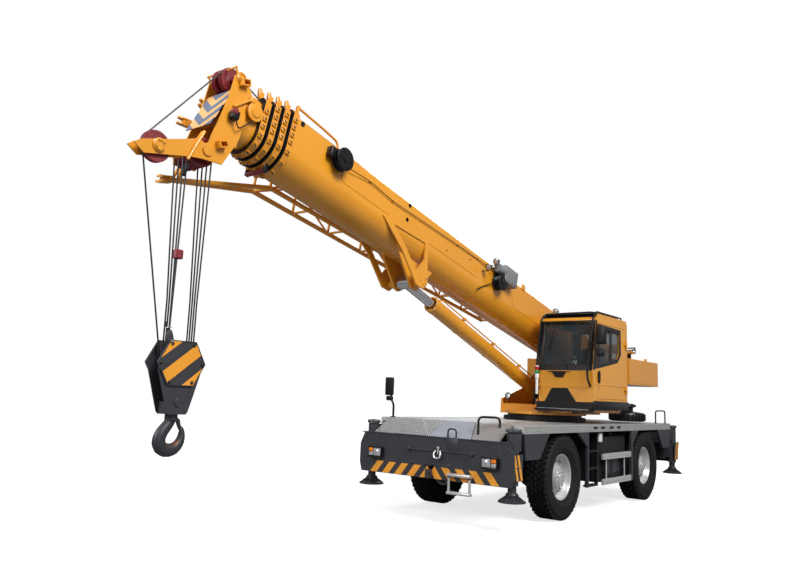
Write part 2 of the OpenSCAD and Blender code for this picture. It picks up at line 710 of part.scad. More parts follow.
// Last section with the head's two side plates, its cross pieces and the arm of the front sheave
module boom_section_5() {
    r = width_of(5);
    x = boom_end;
    side = r + 10;
    color("orange") at_boom() {
        difference() {
            union() {
                section(5, x + 260);
                for (s = [-1, 1]) translate([0, s * side, 0])
                    side_plate([[x + 240, 540], [x + 255, -60], [x + 380, -430], [x + 660, -500], [x + 705, -345],
                        [x + 615, -290], [x + 525, 345], [x + 520, 640], [x + 400, 700]], -10, 10);
                translate([0, side, 0]) side_plate([[x + 640, -320], [x + 735, -305], [x + 981, -453], [x + 1349, -657],
                    [x + 1403, -720], [x + 1272, -773], [x + 768, -541], [x + 640, -497]], -10, 10);
                translate([0, 110, 0]) side_plate([[x + 790, -340], [x + 981, -453], [x + 1349, -657],
                    [x + 1403, -720], [x + 1272, -773], [x + 790, -550]], -10, 10);
                box(x + 800, x + 840, 105, side, -540, -380);
                box(x + 255, x + 275, -r - 5, r + 5, -150, 600);
                box(x + 420, x + 440, -r - 5, r + 5, 100, 420);
            }
            ycyl(top_x, -400, 400, top_z, 30 + fit);
            ycyl(head_x, -400, 400, head_z, 40 + fit);
            ycyl(nose_x, 0, 400, nose_z, 30 + fit);
        }
    }
}
// Grooved rope sheave on the Y axis
module sheave(r, w) {
    rotate([90, 0, 0]) rotate_extrude()
        polygon([[0, -w / 2], [r, -w / 2], [r - 28, -4], [r - 28, 4], [r, w / 2], [0, w / 2]]);
}
module boom_sheaves() {
    r = width_of(5) + 22;
    color("darkred") at_boom() {
        for (y = [-120, -40, 40, 120]) translate([head_x, y, head_z]) sheave(sheave_r, 50);
        ycyl(head_x, -r, r, head_z, 40);
        for (y = [-60, 60]) translate([top_x, y, top_z]) sheave(sheave_r - 10, 50);
        ycyl(top_x, -r, r, top_z, 30);
        translate([nose_x, nose_y, nose_z]) sheave(sheave_r, 50);
        ycyl(nose_x, 95, r, nose_z, 30);
    }
}
// Lattice jib, stowed along the right side of the base section; drawn from its front end backwards
module jib() {
    y0 = -boom_r - 72;
    y1 = y0 - 330;
    long = 5900;
    high = 380;
    bays = 8;
    step = long / bays;
    front = boom_len - 480;
    color("orange") at_boom() translate([front, 0, -10]) rotate([0, 1.94, 0]) {
        for (y = [y0, y1], z = [0, high]) bar([-long, y, z], [20, y, z], 32);
        for (i = [0 : bays]) {
            x = -i * step;
            for (z = [0, high]) bar([x, y0, z], [x, y1, z], 17);
            for (y = [y0, y1]) bar([x, y, 0], [x, y, high], 19);
        }
        for (i = [0 : bays - 1], y = [y0, y1])
            bar([-i * step, y, i % 2 == 0 ? 0 : high], [-(i + 1) * step, y, i % 2 == 0 ? high : 0], 15);
        // Root forks beside the head
        bar([0, y0, 0], [1480, y0, -580], 30);
        bar([0, y1, 0], [1310, y1, -440], 30);
        bar([0, y0, high], [1440, y0, 170], 30);
        bar([0, y1, high], [1130, y1 + 160, 605], 30);
        for (i = [1, bays - 1]) box(-i * step - 40, 40 - i * step, y0, -boom_r - fit, 240, 300);
    }
}

// Lift cylinder
module at_lift() {
    translate([lift_foot_x, boom_y, lift_foot_z]) rotate([0, -lift_ang, 0]) children();
}
module lift_barrel() {
    color("orange") at_lift() difference() {
        union() {
            xcyl(60, barrel_end, 0, 0, barrel_r);
            ycyl(0, -118, 118, 0, 120);
            xcyl(barrel_end - 60, barrel_end, 0, 0, barrel_r + 6);
        }
        ycyl(0, -130, 130, 0, 55 + fit);
        xcyl(200, barrel_end + 10, 0, 0, rod_r + fit);
    }
}
module lift_rod() {
    color("silver") at_lift() {
        xcyl(barrel_end - 2600, lift_len - 60, 0, 0, rod_r);
        difference() {
            ycyl(lift_len, -105, 105, 0, eye_r);
            ycyl(lift_len, -120, 120, 0, 60);
        }
    }
}

// Hook block hanging under the head
module hoist_falls() {
    low = block_z + 40;
    socket = [hang_x + 150, block_top + 3.1];
    nose = [foot_x + nose_x * cos(boom_rest) - nose_z * sin(boom_rest),
        foot_z + nose_x * sin(boom_rest) + nose_z * cos(boom_rest)];
    drop = socket - nose;
    groove = sheave_r - 10;
    seat = sheave_r - 17.5;
    leave = atan2(drop.y, drop.x) + acos(seat / norm(drop));
    start = nose + seat * [cos(leave), sin(leave)];
    color("gray") {
        for (s = [-1, 1], y = [-120, -40, 40, 120])
            bar([hang_x + s * groove, boom_y + y, hang_z], [hang_x + s * 158, boom_y + y / 2, low], rope_r);
        bar([start.x, boom_y + nose_y, start.y], [socket.x, boom_y + 92, socket.y], rope_r);
    }
}
module hook_block() {
    c = block_z;
    cheek = 89;
    cover = 104;
    color("dimgray") {
        for (s = [-1, 1]) translate([hang_x, boom_y + s * cover, c])
            side_plate([[-158, 232], [158, 232], [292, 0], [158, -232], [-158, -232], [-292, 0]], -8, 8);
        for (s = [-1, 1]) translate([hang_x, boom_y + s * cheek, 0])
            side_plate([[-200, c + 60], [200, c + 60], [262, c - 70], [128, cross_z + 26], [104, cross_z],
                [-104, cross_z], [-128, cross_z + 26], [-262, c - 70]], -8, 8);
        for (y = [-60, -20, 20, 60]) translate([hang_x, boom_y + y, c]) sheave(168, 36);
        ycyl(hang_x, boom_y - cover, boom_y + cover, c, 45);
        difference() {
            box(hang_x - 110, hang_x + 110, boom_y - cheek + 4, boom_y + cheek - 4, cross_z + 2, cross_z + 130);
            zcyl(hang_x, boom_y, cross_z - 10, cross_z + 140, 44 + fit);
        }
        ycyl(hang_x, boom_y - cheek - 14, boom_y - cheek + 2, cross_z + 125, 45);
        ycyl(hang_x, boom_y + cheek - 2, boom_y + cheek + 14, cross_z + 125, 45);
        box(hang_x + 120, hang_x + 180, boom_y + 78, boom_y + 106, c + 190, block_top);
    }
}
module hook() {
    mid = cross_z - 245;
    outer = 205;
    color("dimgray") {
        zcyl(hang_x, boom_y, cross_z - 70, cross_z + 190, 44);
        zcyl(hang_x, boom_y, cross_z + 130 + fit, cross_z + 180, 75);
        zcyl(hang_x, boom_y, cross_z - 75, cross_z - fit, 66);
        translate([hang_x, boom_y, mid]) rotate([90, 0, 0]) difference() {
            translate([0, 0, -40]) cylinder(r = outer, h = 80);
            translate([-14, 8, -50]) cylinder(r = outer - 92, h = 100);
            translate([-296, 30, -50]) cube([250, 250, 100]);
        }
        box(hang_x - 46, hang_x + 66, boom_y - 40, boom_y + 40, mid + 122, cross_z - 60);
    }
}

chassis_frame();
front_outrigger_box();
rear_outrigger_box();
front_bumper();
rear_bumper();
front_slope();
deck();
fenders();
fuel_tank();
hydraulic_tank();
ladders();
step_bars();
headlamps();
handrails();
front_axle();
rear_axle();
driveline();
engine_block();
slew_ring();
knuckle_fl();
knuckle_fr();
knuckle_rl();
knuckle_rr();
tyre_fl();
tyre_fr();
tyre_rl();
tyre_rr();
rim_fl();
rim_fr();
rim_rl();
rim_rr();
beam_fl();
beam_fr();
beam_rl();
beam_rr();
jack_fl();
jack_fr();
jack_rl();
jack_rr();
turret_frame();
counterweight();
winch();
cab_shell();
cab_door();
cab_glass();
door_glass();
cab_guard();
cab_interior();
boom_base();
boom_section_2();
boom_section_3();
boom_section_4();
boom_section_5();
boom_sheaves();
jib();
lift_barrel();
lift_rod();
hoist_falls();
hook_block();
hook();
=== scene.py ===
"""Looks of a two-axle rough-terrain crane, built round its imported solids. Metres, X forward, Y left, Z up."""
import math

import bmesh
import bpy
from mathutils import Matrix, Vector


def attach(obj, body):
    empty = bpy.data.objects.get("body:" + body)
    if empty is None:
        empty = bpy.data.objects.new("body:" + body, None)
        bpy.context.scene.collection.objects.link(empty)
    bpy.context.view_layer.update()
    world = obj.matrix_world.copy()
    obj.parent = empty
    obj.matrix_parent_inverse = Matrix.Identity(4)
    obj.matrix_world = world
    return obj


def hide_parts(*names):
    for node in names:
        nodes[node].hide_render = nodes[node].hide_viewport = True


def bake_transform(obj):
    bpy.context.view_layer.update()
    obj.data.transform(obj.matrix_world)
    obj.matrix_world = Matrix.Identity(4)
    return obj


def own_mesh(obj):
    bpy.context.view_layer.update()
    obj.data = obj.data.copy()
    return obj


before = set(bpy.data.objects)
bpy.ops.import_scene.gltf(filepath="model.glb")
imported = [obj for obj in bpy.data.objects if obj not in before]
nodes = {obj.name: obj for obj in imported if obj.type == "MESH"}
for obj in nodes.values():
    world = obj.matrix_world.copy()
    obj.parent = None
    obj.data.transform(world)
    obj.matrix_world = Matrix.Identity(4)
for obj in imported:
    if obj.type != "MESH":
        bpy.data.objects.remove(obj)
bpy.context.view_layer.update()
scene = bpy.context.scene


def moved(x, y, z):
    return Matrix.Translation((x, y, z))


def about(axis, angle):
    return Matrix.Rotation(angle, 4, axis)


def scaled(x, y, z):
    return Matrix.Diagonal((x, y, z, 1))


def node(net, kind):
    return net.nodes.new("ShaderNode" + kind)


def remap(net, value, from_min, from_max, to_min, to_max):
    band = node(net, "MapRange")
    for socket, number in zip(("From Min", "From Max", "To Min", "To Max"),
                              (from_min, from_max, to_min, to_max)):
        band.inputs[socket].default_value = number
    net.links.new(value, band.inputs["Value"])
    return band


# Studio: a pale sheet of floor under even, soft light, and the camera low at the crane's left front.
# The lamps are broad panels, so that the paint shows long soft highlights.
CAMERA_AT = Vector((12.6495, 6.26187, 1.80443))
HEADING, PITCH, ROLL = math.radians(217.961), math.radians(8.518), math.radians(2.368)
FOCAL_PX, PHOTO_WIDTH, SENSOR = 728.606, 795, 36
look = Vector((math.cos(HEADING) * math.cos(PITCH), math.sin(HEADING) * math.cos(PITCH), math.sin(PITCH)))
level = Vector((math.sin(HEADING), -math.cos(HEADING), 0))
above = level.cross(look)
right = math.cos(ROLL) * level + math.sin(ROLL) * above
upward = -math.sin(ROLL) * level + math.cos(ROLL) * above
camera = bpy.data.objects.new("camera", bpy.data.cameras.new("camera"))
scene.collection.objects.link(camera)
camera.matrix_world = Matrix.Translation(CAMERA_AT) @ Matrix((right, upward, -look)).transposed().to_4x4()
camera.data.sensor_width = SENSOR
camera.data.lens = FOCAL_PX / PHOTO_WIDTH * SENSOR
camera.data.clip_end = 200
scene.camera = camera
scene.view_settings.view_transform = "Standard"


def light_panel(name, at, towards, size, power):
    lamp = bpy.data.lights.new(name, "AREA")
    lamp.shape = "RECTANGLE"
    lamp.size, lamp.size_y = size
    lamp.energy = power
    panel = bpy.data.objects.new(name, lamp)
    aim = (Vector(towards) - Vector(at)).to_track_quat("-Z", "Y").to_matrix().to_4x4()
    panel.matrix_world = Matrix.Translation(at) @ aim
    scene.collection.objects.link(panel)


light_panel("key_panel", (7, 13, 14), (1, 0, 2), (9, 7), 3600)
light_panel("front_panel", (17, -3, 8), (2, 0, 2), (7, 5), 1200)
light_panel("back_panel", (-12, -6, 11), (0, 0, 2), (9, 6), 1000)


def white_for_camera(net, usual, seen_white):
    path = node(net, "LightPath")
    through = node(net, "Math")
    through.operation = "MAXIMUM"
    net.links.new(path.outputs["Is Camera Ray"], through.inputs[0])
    net.links.new(path.outputs["Is Transmission Ray"], through.inputs[1])
    pick = node(net, "MixShader")
    net.links.new(through.outputs[0], pick.inputs["Fac"])
    net.links.new(usual, pick.inputs[1])
    net.links.new(seen_white, pick.inputs[2])
    return pick.outputs[0]


sky = bpy.data.worlds.new("studio")
scene.world = sky
sky.use_nodes = True
net = sky.node_tree
net.nodes.clear()
backdrop = node(net, "Background")
backdrop.inputs["Color"].default_value = (1, 1, 1, 1)
ambient = node(net, "Background")
ambient.inputs["Color"].default_value = (0.95, 0.97, 1, 1)
ambient.inputs["Strength"].default_value = 0.34
out = node(net, "OutputWorld")
net.links.new(white_for_camera(net, ambient.outputs[0], backdrop.outputs[0]), out.inputs["Surface"])

floor_mesh = bmesh.new()
bmesh.ops.create_circle(floor_mesh, cap_ends=True, segments=96, radius=60)
sheet_data = bpy.data.meshes.new("floor")
floor_mesh.to_mesh(sheet_data)
floor_mesh.free()
floor = bpy.data.objects.new("floor", sheet_data)
scene.collection.objects.link(floor)
pale = bpy.data.materials.new("pale_floor")
pale.use_nodes = True
net = pale.node_tree
net.nodes.clear()
dim = node(net, "BsdfDiffuse")
dim.inputs["Color"].default_value = (0.22, 0.22, 0.22, 1)
lit = node(net, "BsdfDiffuse")
lit.inputs["Color"].default_value = (0.45, 0.45, 0.45, 1)
glow = node(net, "Emission")
away = node(net, "VectorMath")
away.operation = "LENGTH"
net.links.new(node(net, "TexCoord").outputs["Object"], away.inputs[0])
fade = remap(net, away.outputs["Value"], 4.0, 13.0, 0.74, 1.0)
net.links.new(fade.outputs["Result"], glow.inputs["Strength"])
both = node(net, "AddShader")
net.links.new(lit.outputs[0], both.inputs[0])
net.links.new(glow.outputs[0], both.inputs[1])
out = node(net, "OutputMaterial")
net.links.new(white_for_camera(net, dim.outputs[0], both.outputs[0]), out.inputs["Surface"])
sheet_data.materials.append(pale)


# Main frame: welded rails, cross members, outrigger boxes, tanks and axles in dark slate paint.
# The paint is sprayed, so it varies a little in tone and gloss and has a faint orange peel.
def noise_field(net, coords, scale, detail):
    field = node(net, "TexNoise")
    field.inputs["Scale"].default_value = scale
    field.inputs["Detail"].default_value = detail
    net.links.new(coords, field.inputs["Vector"])
    return field.outputs["Fac"]


def spread(net, value, low, high):
    return remap(net, value, 0.3, 0.7, low, high).outputs["Result"]


def finish(name, colour, rough, metal=0.0, coat=0.0, mottle=0.06, patch=1.6, grain=160, relief=0.03,
           gloss_shift=0.06, shine=0.5):
    made = bpy.data.materials.new(name)
    made.use_nodes = True
    net = made.node_tree
    shader = net.nodes["Principled BSDF"]
    coords = node(net, "TexCoord").outputs["Object"]
    tone = node(net, "HueSaturation")
    tone.inputs["Color"].default_value = (*colour, 1)
    net.links.new(spread(net, noise_field(net, coords, patch, 6), 1 - mottle, 1 + mottle), tone.inputs["Value"])
    net.links.new(tone.outputs["Color"], shader.inputs["Base Color"])
    net.links.new(spread(net, noise_field(net, coords, patch * 4, 4), rough - gloss_shift, rough + gloss_shift),
                  shader.inputs["Roughness"])
    bump = node(net, "Bump")
    bump.inputs["Strength"].default_value = relief
    bump.inputs["Distance"].default_value = 0.002
    net.links.new(noise_field(net, coords, grain, 2), bump.inputs["Height"])
    net.links.new(bump.outputs["Normal"], shader.inputs["Normal"])
    shader.inputs["Metallic"].default_value = metal
    shader.inputs["Specular IOR Level"].default_value = shine
    shader.inputs["Coat Weight"].default_value = coat
    shader.inputs["Coat Roughness"].default_value = 0.12
    return made


def dress(material, *names):
    for name in names:
        nodes[name].data.materials.clear()
        nodes[name].data.materials.append(material)


slate = finish("slate_paint", (0.034, 0.036, 0.043), 0.4, coat=0.1, shine=0.4)
# This dark paint also serves as painted shade: dark discs in the wheel discs' holes and the rails' hand holds.
underbody_and_hole_shade = finish("underbody_paint", (0.014, 0.014, 0.016), 0.55, shine=0.25)
black = finish("black_paint", (0.006, 0.006, 0.007), 0.34, coat=0.04, shine=0.3)
CORNERS = {"fl": (1, 1), "fr": (1, -1), "rl": (-1, 1), "rr": (-1, -1)}
dress(slate, "front_outrigger_box", "rear_outrigger_box", "front_bumper", "rear_bumper", "fenders",
      *["beam_" + c for c in CORNERS])
dress(underbody_and_hole_shade, "chassis_frame", "front_axle", "rear_axle", "driveline", "engine_block", "fuel_tank",
      "hydraulic_tank", *["knuckle_" + c for c in CORNERS])
dress(black, "ladders", "slew_ring")


# Tyres: wide radial crane tyres with block tread, moulded in black rubber, one on each steered wheel.
# The carcass is turned from its section; one pitch of tread blocks is repeated round it.
def add_part(whole, part, place=Matrix(), tint=0):
    bmesh.ops.remove_doubles(part, verts=part.verts, dist=1e-5)
    bmesh.ops.transform(part, matrix=place, verts=part.verts)
    bmesh.ops.recalc_face_normals(part, faces=part.faces)
    for face in part.faces:
        face.material_index = tint
    carrier = bpy.data.meshes.new("part")
    part.to_mesh(carrier)
    part.free()
    whole.from_mesh(carrier)
    bpy.data.meshes.remove(carrier)


def fit_piece(name, whole, body, slot, *materials, crease=32, place=Matrix()):
    bmesh.ops.transform(whole, matrix=place, verts=whole.verts)
    data = bpy.data.meshes.new(name)
    whole.to_mesh(data)
    whole.free()
    data.shade_smooth()
    data.set_sharp_from_angle(angle=math.radians(crease))
    for material in materials:
        data.materials.append(material)
    made = bpy.data.objects.new(name, data)
    scene.collection.objects.link(made)
    if body:
        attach(made, body)
    return made


def turned(profile, steps=48):
    part = bmesh.new()
    points = [part.verts.new((radius, 0, height)) for radius, height in profile]
    line = [part.edges.new(pair) for pair in zip(points, points[1:])]
    bmesh.ops.spin(part, geom=points + line, cent=(0, 0, 0), axis=(0, 0, 1), angle=2 * math.pi, steps=steps,
                   use_merge=True)
    return part


def soft_edges(part, edge, steps=2):
    if edge:
        bmesh.ops.bevel(part, geom=part.edges[:], offset=edge, offset_type="OFFSET", affect="EDGES",
                        segments=steps, profile=0.5, material=-1, clamp_overlap=True)
    return part


def block(low, high, edge=0.004, steps=2):
    part = bmesh.new()
    bmesh.ops.create_cube(part, size=1)
    low, high = Vector(low), Vector(high)
    bmesh.ops.scale(part, vec=high - low, verts=part.verts)
    bmesh.ops.translate(part, vec=(low + high) / 2, verts=part.verts)
    return soft_edges(part, edge, steps)


AXLE_X, WHEEL_Y, TYRE_R = 1.84, 1.09, 0.65
rubber = finish("tyre_rubber", (0.01, 0.0095, 0.0095), 0.72, shine=0.25, mottle=0.16, patch=5, grain=90,
                relief=0.12)
TREAD_R = TYRE_R - 0.02
PITCHES = 44
side_wall = [(0.33, 0.108), (0.354, 0.116), (0.366, 0.138), (0.372, 0.139), (0.4, 0.163), (0.44, 0.182),
             (0.447, 0.187), (0.455, 0.187), (0.46, 0.185), (0.51, 0.1915), (0.55, 0.1905), (0.575, 0.186),
             (0.58, 0.188), (0.588, 0.187), (0.606, 0.176), (0.618, 0.165), (TREAD_R - 0.004, 0.15)]
tyre_profile = [(r, -y) for r, y in side_wall] + [(TREAD_R, -0.06), (TREAD_R, 0.06)] + side_wall[::-1]
tyre_profile.append(tyre_profile[0])


def tread_block(length, width, across, turn, shift):
    part = block((-0.012, -length / 2, -width / 2), (0.02, length / 2, width / 2), 0.003, 1)
    bmesh.ops.rotate(part, cent=(0, 0, 0), matrix=Matrix.Rotation(turn, 3, "X"), verts=part.verts)
    bmesh.ops.translate(part, vec=(TREAD_R, 0, across), verts=part.verts)
    bmesh.ops.rotate(part, cent=(0, 0, 0), matrix=Matrix.Rotation(shift, 3, "Z"), verts=part.verts)
    return part


tyre_shape = bmesh.new()
add_part(tyre_shape, turned(tyre_profile, 96))
pitch = 2 * math.pi / PITCHES
for side in (-1, 1):
    for n in range(PITCHES):
        add_part(tyre_shape, tread_block(0.066, 0.062, side * 0.126, side * 0.22, n * pitch))
        add_part(tyre_shape, tread_block(0.072, 0.036, side * 0.068, side * -0.42, (n + 0.5) * pitch))
for n in range(PITCHES):
    add_part(tyre_shape, tread_block(0.074, 0.04, 0, 0.42, n * pitch))
tyre_master = bpy.data.meshes.new("tyre_master")
tyre_shape.to_mesh(tyre_master)
tyre_shape.free()


def wheel_place(corner):
    fore, left = CORNERS[corner]
    return moved(fore * AXLE_X, left * WHEEL_Y, TYRE_R) @ about("X", -left * math.pi / 2)


for corner in CORNERS:
    shape = bmesh.new()
    shape.from_mesh(tyre_master)
    bmesh.ops.transform(shape, matrix=wheel_place(corner), verts=shape.verts)
    tyre = fit_piece("tyre_tread_" + corner, shape, "wheel_" + corner, "rubber", rubber, crease=40)
    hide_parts("tyre_" + corner)
bpy.data.meshes.remove(tyre_master)

# Rims: deep dish steel discs in silver paint, held by a ring of nuts, with the planetary hub through the
# middle. Lip, well and disc are turned; nuts, studs and hub screws are set round them.
silver = finish("silver_paint", (0.56, 0.565, 0.575), 0.34, metal=0.35, coat=0.2, mottle=0.05, patch=6)
bare_steel = finish("bare_steel", (0.42, 0.42, 0.43), 0.36, metal=0.9, mottle=0.1, patch=20)
RIM_PROFILE = [(0.0, -0.004), (0.079, -0.004), (0.079, -0.088), (0.148, -0.088), (0.15, 0.0), (0.296, -0.006),
               (0.305, -0.125), (0.352, -0.125), (0.352, -0.114), (0.326, -0.11), (0.326, 0.11), (0.352, 0.114),
               (0.354, 0.122), (0.348, 0.127), (0.338, 0.124), (0.33, 0.108), (0.322, 0.098), (0.318, 0.07),
               (0.302, 0.05), (0.294, 0.026), (0.276, 0.018), (0.262, 0.021), (0.205, 0.021), (0.196, 0.028),
               (0.16, 0.03), (0.156, 0.04), (0.152, 0.092), (0.14, 0.1), (0.112, 0.102), (0.108, 0.109),
               (0.05, 0.11), (0.046, 0.116), (0.0, 0.117)]


def nut(across, high, sides=6):
    part = bmesh.new()
    bmesh.ops.create_cone(part, cap_ends=True, segments=sides, radius1=across, radius2=across * 0.94,
                          depth=high)
    return part


def bolt_ring(whole, place, count, radius, level, bolt, tint=1, lead=0.0):
    for n in range(count):
        spot = place @ about("Z", (n + lead) * 2 * math.pi / count) @ moved(radius, 0, level)
        add_part(whole, nut(*bolt), spot, tint)


for corner in CORNERS:
    shape = bmesh.new()
    place = wheel_place(corner)
    add_part(shape, turned(RIM_PROFILE, 64), place)
    bolt_ring(shape, place, 20, 0.234, 0.031, (0.017, 0.02))
    bolt_ring(shape, place, 20, 0.234, 0.036, (0.009, 0.034, 10))
    # Ten thin dark discs round the wheel disc are painted shade in its holes.
    bolt_ring(shape, place, 10, 0.281, 0.019, (0.026, 0.004, 16), 2, 0.5)
    bolt_ring(shape, place, 12, 0.128, 0.104, (0.01, 0.012))
    bolt_ring(shape, place, 12, 0.078, 0.114, (0.006, 0.01))
    rim = fit_piece("rim_disc_" + corner, shape, "wheel_" + corner, "rim_silver", silver, bare_steel, underbody_and_hole_shade)
    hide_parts("rim_" + corner)

# Outriggers: box-section beams that slide out of the frame, each with an upright jack and a dished float.
# Floats carry welded ribs, jacks a bolted cap, and the beam ends are painted with slanted warning bars.
dark_steel = finish("dark_steel", (0.034, 0.035, 0.039), 0.44, metal=0.25, mottle=0.12, patch=5)
signal = finish("signal_orange", (0.8, 0.32, 0.022), 0.4, coat=0.2)
navy = finish("navy_edge", (0.01, 0.014, 0.03), 0.45)
dress(dark_steel, *["jack_" + c for c in CORNERS])
BOX_X, JACK_Y, JACK_FACE, FLOAT_Z, JACK_TOP = 3.48, 1.25, 1.347, 0.412, 1.39


def thicken(part, by):
    grown = bmesh.ops.extrude_face_region(part, geom=part.faces[:])["geom"]
    bmesh.ops.translate(part, vec=by, verts=[g for g in grown if isinstance(g, bmesh.types.BMVert)])


def cut_plate(outline, thick, edge=0.0, steps=1):
    part = bmesh.new()
    part.faces.new([part.verts.new((a, b, 0)) for a, b in outline])
    thicken(part, (0, 0, thick))
    bmesh.ops.recalc_face_normals(part, faces=part.faces)
    return soft_edges(part, edge, steps)


def facing_front(x):
    return Matrix(((0, 0, 1, x), (1, 0, 0, 0), (0, 1, 0, 0), (0, 0, 0, 1)))


def facing_left(y):
    return Matrix(((1, 0, 0, 0), (0, 0, 1, y), (0, 1, 0, 0), (0, 0, 0, 1)))


def slanted_bar(a0, a1, lean, low, high):
    return [(a0, low), (a1, low), (a1 + lean, high), (a0 + lean, high)]


def oblong(a0, a1, low, high):
    return slanted_bar(a0, a1, 0, low, high)


def border(whole, outer, inner, thick, place):
    for a, b, c, d in zip(outer, outer[1:] + outer[:1], inner[1:] + inner[:1], inner):
        add_part(whole, cut_plate([a, b, c, d], thick), place)


for corner, (fore, left) in CORNERS.items():
    mirrored = scaled(fore, left, 1)
    shape = bmesh.new()
    stand = mirrored @ moved(BOX_X, JACK_Y, FLOAT_Z)
    for n in range(10):
        rib = cut_plate([(0.08, 0.088), (0.08, 0.05), (0.174, 0.018), (0.174, 0.034), (0.1, 0.086)], 0.012,
                        0.002)
        bmesh.ops.rotate(rib, cent=(0, 0, 0), matrix=Matrix.Rotation(math.pi / 2, 3, "X"), verts=rib.verts)
        add_part(shape, rib, stand @ about("Z", n * math.pi / 5) @ moved(0, 0.006, 0))
    add_part(shape, turned([(0.185, 0.0), (0.192, 0.004), (0.192, 0.02), (0.184, 0.026), (0.176, 0.02),
                            (0.176, 0.0)]), stand)
    add_part(shape, turned([(0.06, 0.088), (0.09, 0.09), (0.092, 0.104), (0.074, 0.128), (0.06, 0.13)], 32),
             stand)
    fit_piece("float_ribs_" + corner, shape, "float_" + corner, "dark_steel", dark_steel)
    shape = bmesh.new()
    cap = mirrored @ moved(BOX_X, JACK_Y, JACK_TOP)
    add_part(shape, turned([(0.0, 0.02), (0.064, 0.02), (0.074, 0.01), (0.1, 0.008), (0.104, 0.0),
                            (0.104, -0.026), (0.098, -0.032), (0.086, -0.034)], 32), cap)
    add_part(shape, turned([(0.086, -0.56), (0.1, -0.556), (0.102, -0.53), (0.086, -0.524)], 32), cap)
    bolt_ring(shape, cap, 6, 0.088, 0.013, (0.011, 0.012))
    add_part(shape, block((-0.16, -0.02, -0.3), (-0.085, 0.05, -0.05), 0.006), cap)
    plate = mirrored @ facing_left(JACK_FACE)
    for a, low, high in ((-0.118, 0.706, 0.875), (-0.005, 0.706, 0.875), (-0.06, 0.885, 1.054),
                         (0.045, 0.885, 1.054)):
        for margin, thick, tint in ((0.008, 0.003, 3), (0.0, 0.0045, 2)):
            bar = slanted_bar(BOX_X + a - margin, BOX_X + a + 0.058 + margin, 0.055, low, high)
            add_part(shape, cut_plate(bar, thick), plate, tint)
    fit_piece("jack_cap_" + corner, shape, "outrigger_" + corner, "frame_paint", slate, bare_steel, signal,
              navy)

# Front bumper: a folded plate bolted to the outrigger box, with warning bars, lamps, tow shackle and grab
# handle. The bars are cut film in orange with a navy edge; the handle and the tow bar's rod are bent
# round steel.
BUMPER_X = 3.65
zinc = finish("zinc_plate", (0.7, 0.7, 0.7), 0.3, metal=0.7, mottle=0.08, patch=12)


def bent_tube(points, radius, bend=0.03, sides=12, arc=5):
    corners = [Vector(p) for p in points]
    line = [corners[0]]
    for before, at, after in zip(corners, corners[1:], corners[2:]):
        reach = min(bend, (before - at).length * 0.49, (after - at).length * 0.49)
        start, stop = at + (before - at).normalized() * reach, at + (after - at).normalized() * reach
        for n in range(arc + 1):
            t = n / arc
            line.append((1 - t) ** 2 * start + 2 * t * (1 - t) * at + t * t * stop)
    line.append(corners[-1])
    part = bmesh.new()
    rings = []
    for n, point in enumerate(line):
        way = line[min(n + 1, len(line) - 1)] - line[max(n - 1, 0)]
        turn = way.to_track_quat("Z", "Y").to_matrix().to_4x4()
        ring = bmesh.ops.create_circle(part, cap_ends=n in (0, len(line) - 1), segments=sides, radius=radius,
                                       matrix=Matrix.Translation(point) @ turn)["verts"]
        rings.append(list({edge for vert in ring for edge in vert.link_edges}))
    for first, second in zip(rings, rings[1:]):
        bmesh.ops.bridge_loops(part, edges=first + second)
    return part


def warning_bars(whole, place, low, high):
    for side in (-1, 1):
        for n in range(5):
            foot = side * (0.075 + n * 0.236)
            for margin, rim, thick, tint in ((0.016, 0.0, 0.0015, 2), (0.0, 0.002, 0.0028, 1)):
                ends = sorted((foot - side * margin, foot + side * (0.128 + margin)))
                bar = slanted_bar(*ends, -side * 0.135, low + rim, high - rim)
                add_part(whole, cut_plate(bar, thick), place, tint)


shape = bmesh.new()
face = facing_front(0)
on_bumper = moved(BUMPER_X, 0, 0)
warning_bars(shape, face, 0.624, 0.798)
for side in (-1, 1):
    add_part(shape, block((-0.03, side - 0.34, 1.214), (0.012, side + 0.28, 1.228), 0.003))
    add_part(shape, turned([(0.03, 0.0), (0.044, 0.0), (0.046, 0.004), (0.042, 0.008), (0.032, 0.008),
                            (0.03, 0.0)], 24), face @ moved(side * 1.235, 1.115, 0))
add_part(shape, block((-0.03, -0.7, 1.216), (0.01, 0.7, 1.23), 0.003))
add_part(shape, block((-0.001, 0.272, 1.045), (0.012, 0.462, 1.216), 0.003))
add_part(shape, bent_tube([(0.02, -0.36, 1.022), (0.02, 0.7, 1.03)], 0.012))
for y in (-0.405, 0.7):
    add_part(shape, turned([(0.0, 0.05), (0.028, 0.048), (0.034, 0.036), (0.034, 0.0)], 20),
             face @ moved(y, 1.024, 0))
for y in (-0.36, -0.1, 0.02, 0.3):
    add_part(shape, turned([(0.0, 0.04), (0.014, 0.038), (0.018, 0.028), (0.018, 0.012), (0.026, 0.0)], 16),
             face @ moved(y, 0.826, 0))
for y in (-0.95, -0.62, 0.6, 0.95):
    for z in (0.845, 1.165):
        add_part(shape, nut(0.012, 0.012), face @ moved(y, z, 0.006))
handle = [(-0.012, 0.275, 1.2), (-0.012, 0.275, 1.353), (-0.012, 0.416, 1.353), (-0.012, 0.416, 1.2)]
add_part(shape, bent_tube(handle, 0.0115, 0.05), tint=3)
fit_piece("bumper_fittings", shape, "carrier", "frame_paint", slate, signal, navy, black, place=on_bumper)

shape = bmesh.new()
eye = moved(BUMPER_X, 0.136, 0)
bow = [(0.03, -0.035, 1.03), (0.055, -0.062, 0.985), (0.06, -0.045, 0.925), (0.06, 0.045, 0.925),
       (0.055, 0.062, 0.985), (0.03, 0.035, 1.03)]
add_part(shape, bent_tube(bow, 0.014, 0.04))
add_part(shape, bent_tube([(0.03, 0, 0.98), (0.03, 0, 1.085)], 0.013))
add_part(shape, turned([(0.0, 0.03), (0.022, 0.028), (0.022, 0.0), (0.0, 0.0)], 16), moved(0.03, 0, 1.06))
fit_piece("tow_shackle", shape, "carrier", "rim_silver", zinc, place=eye)

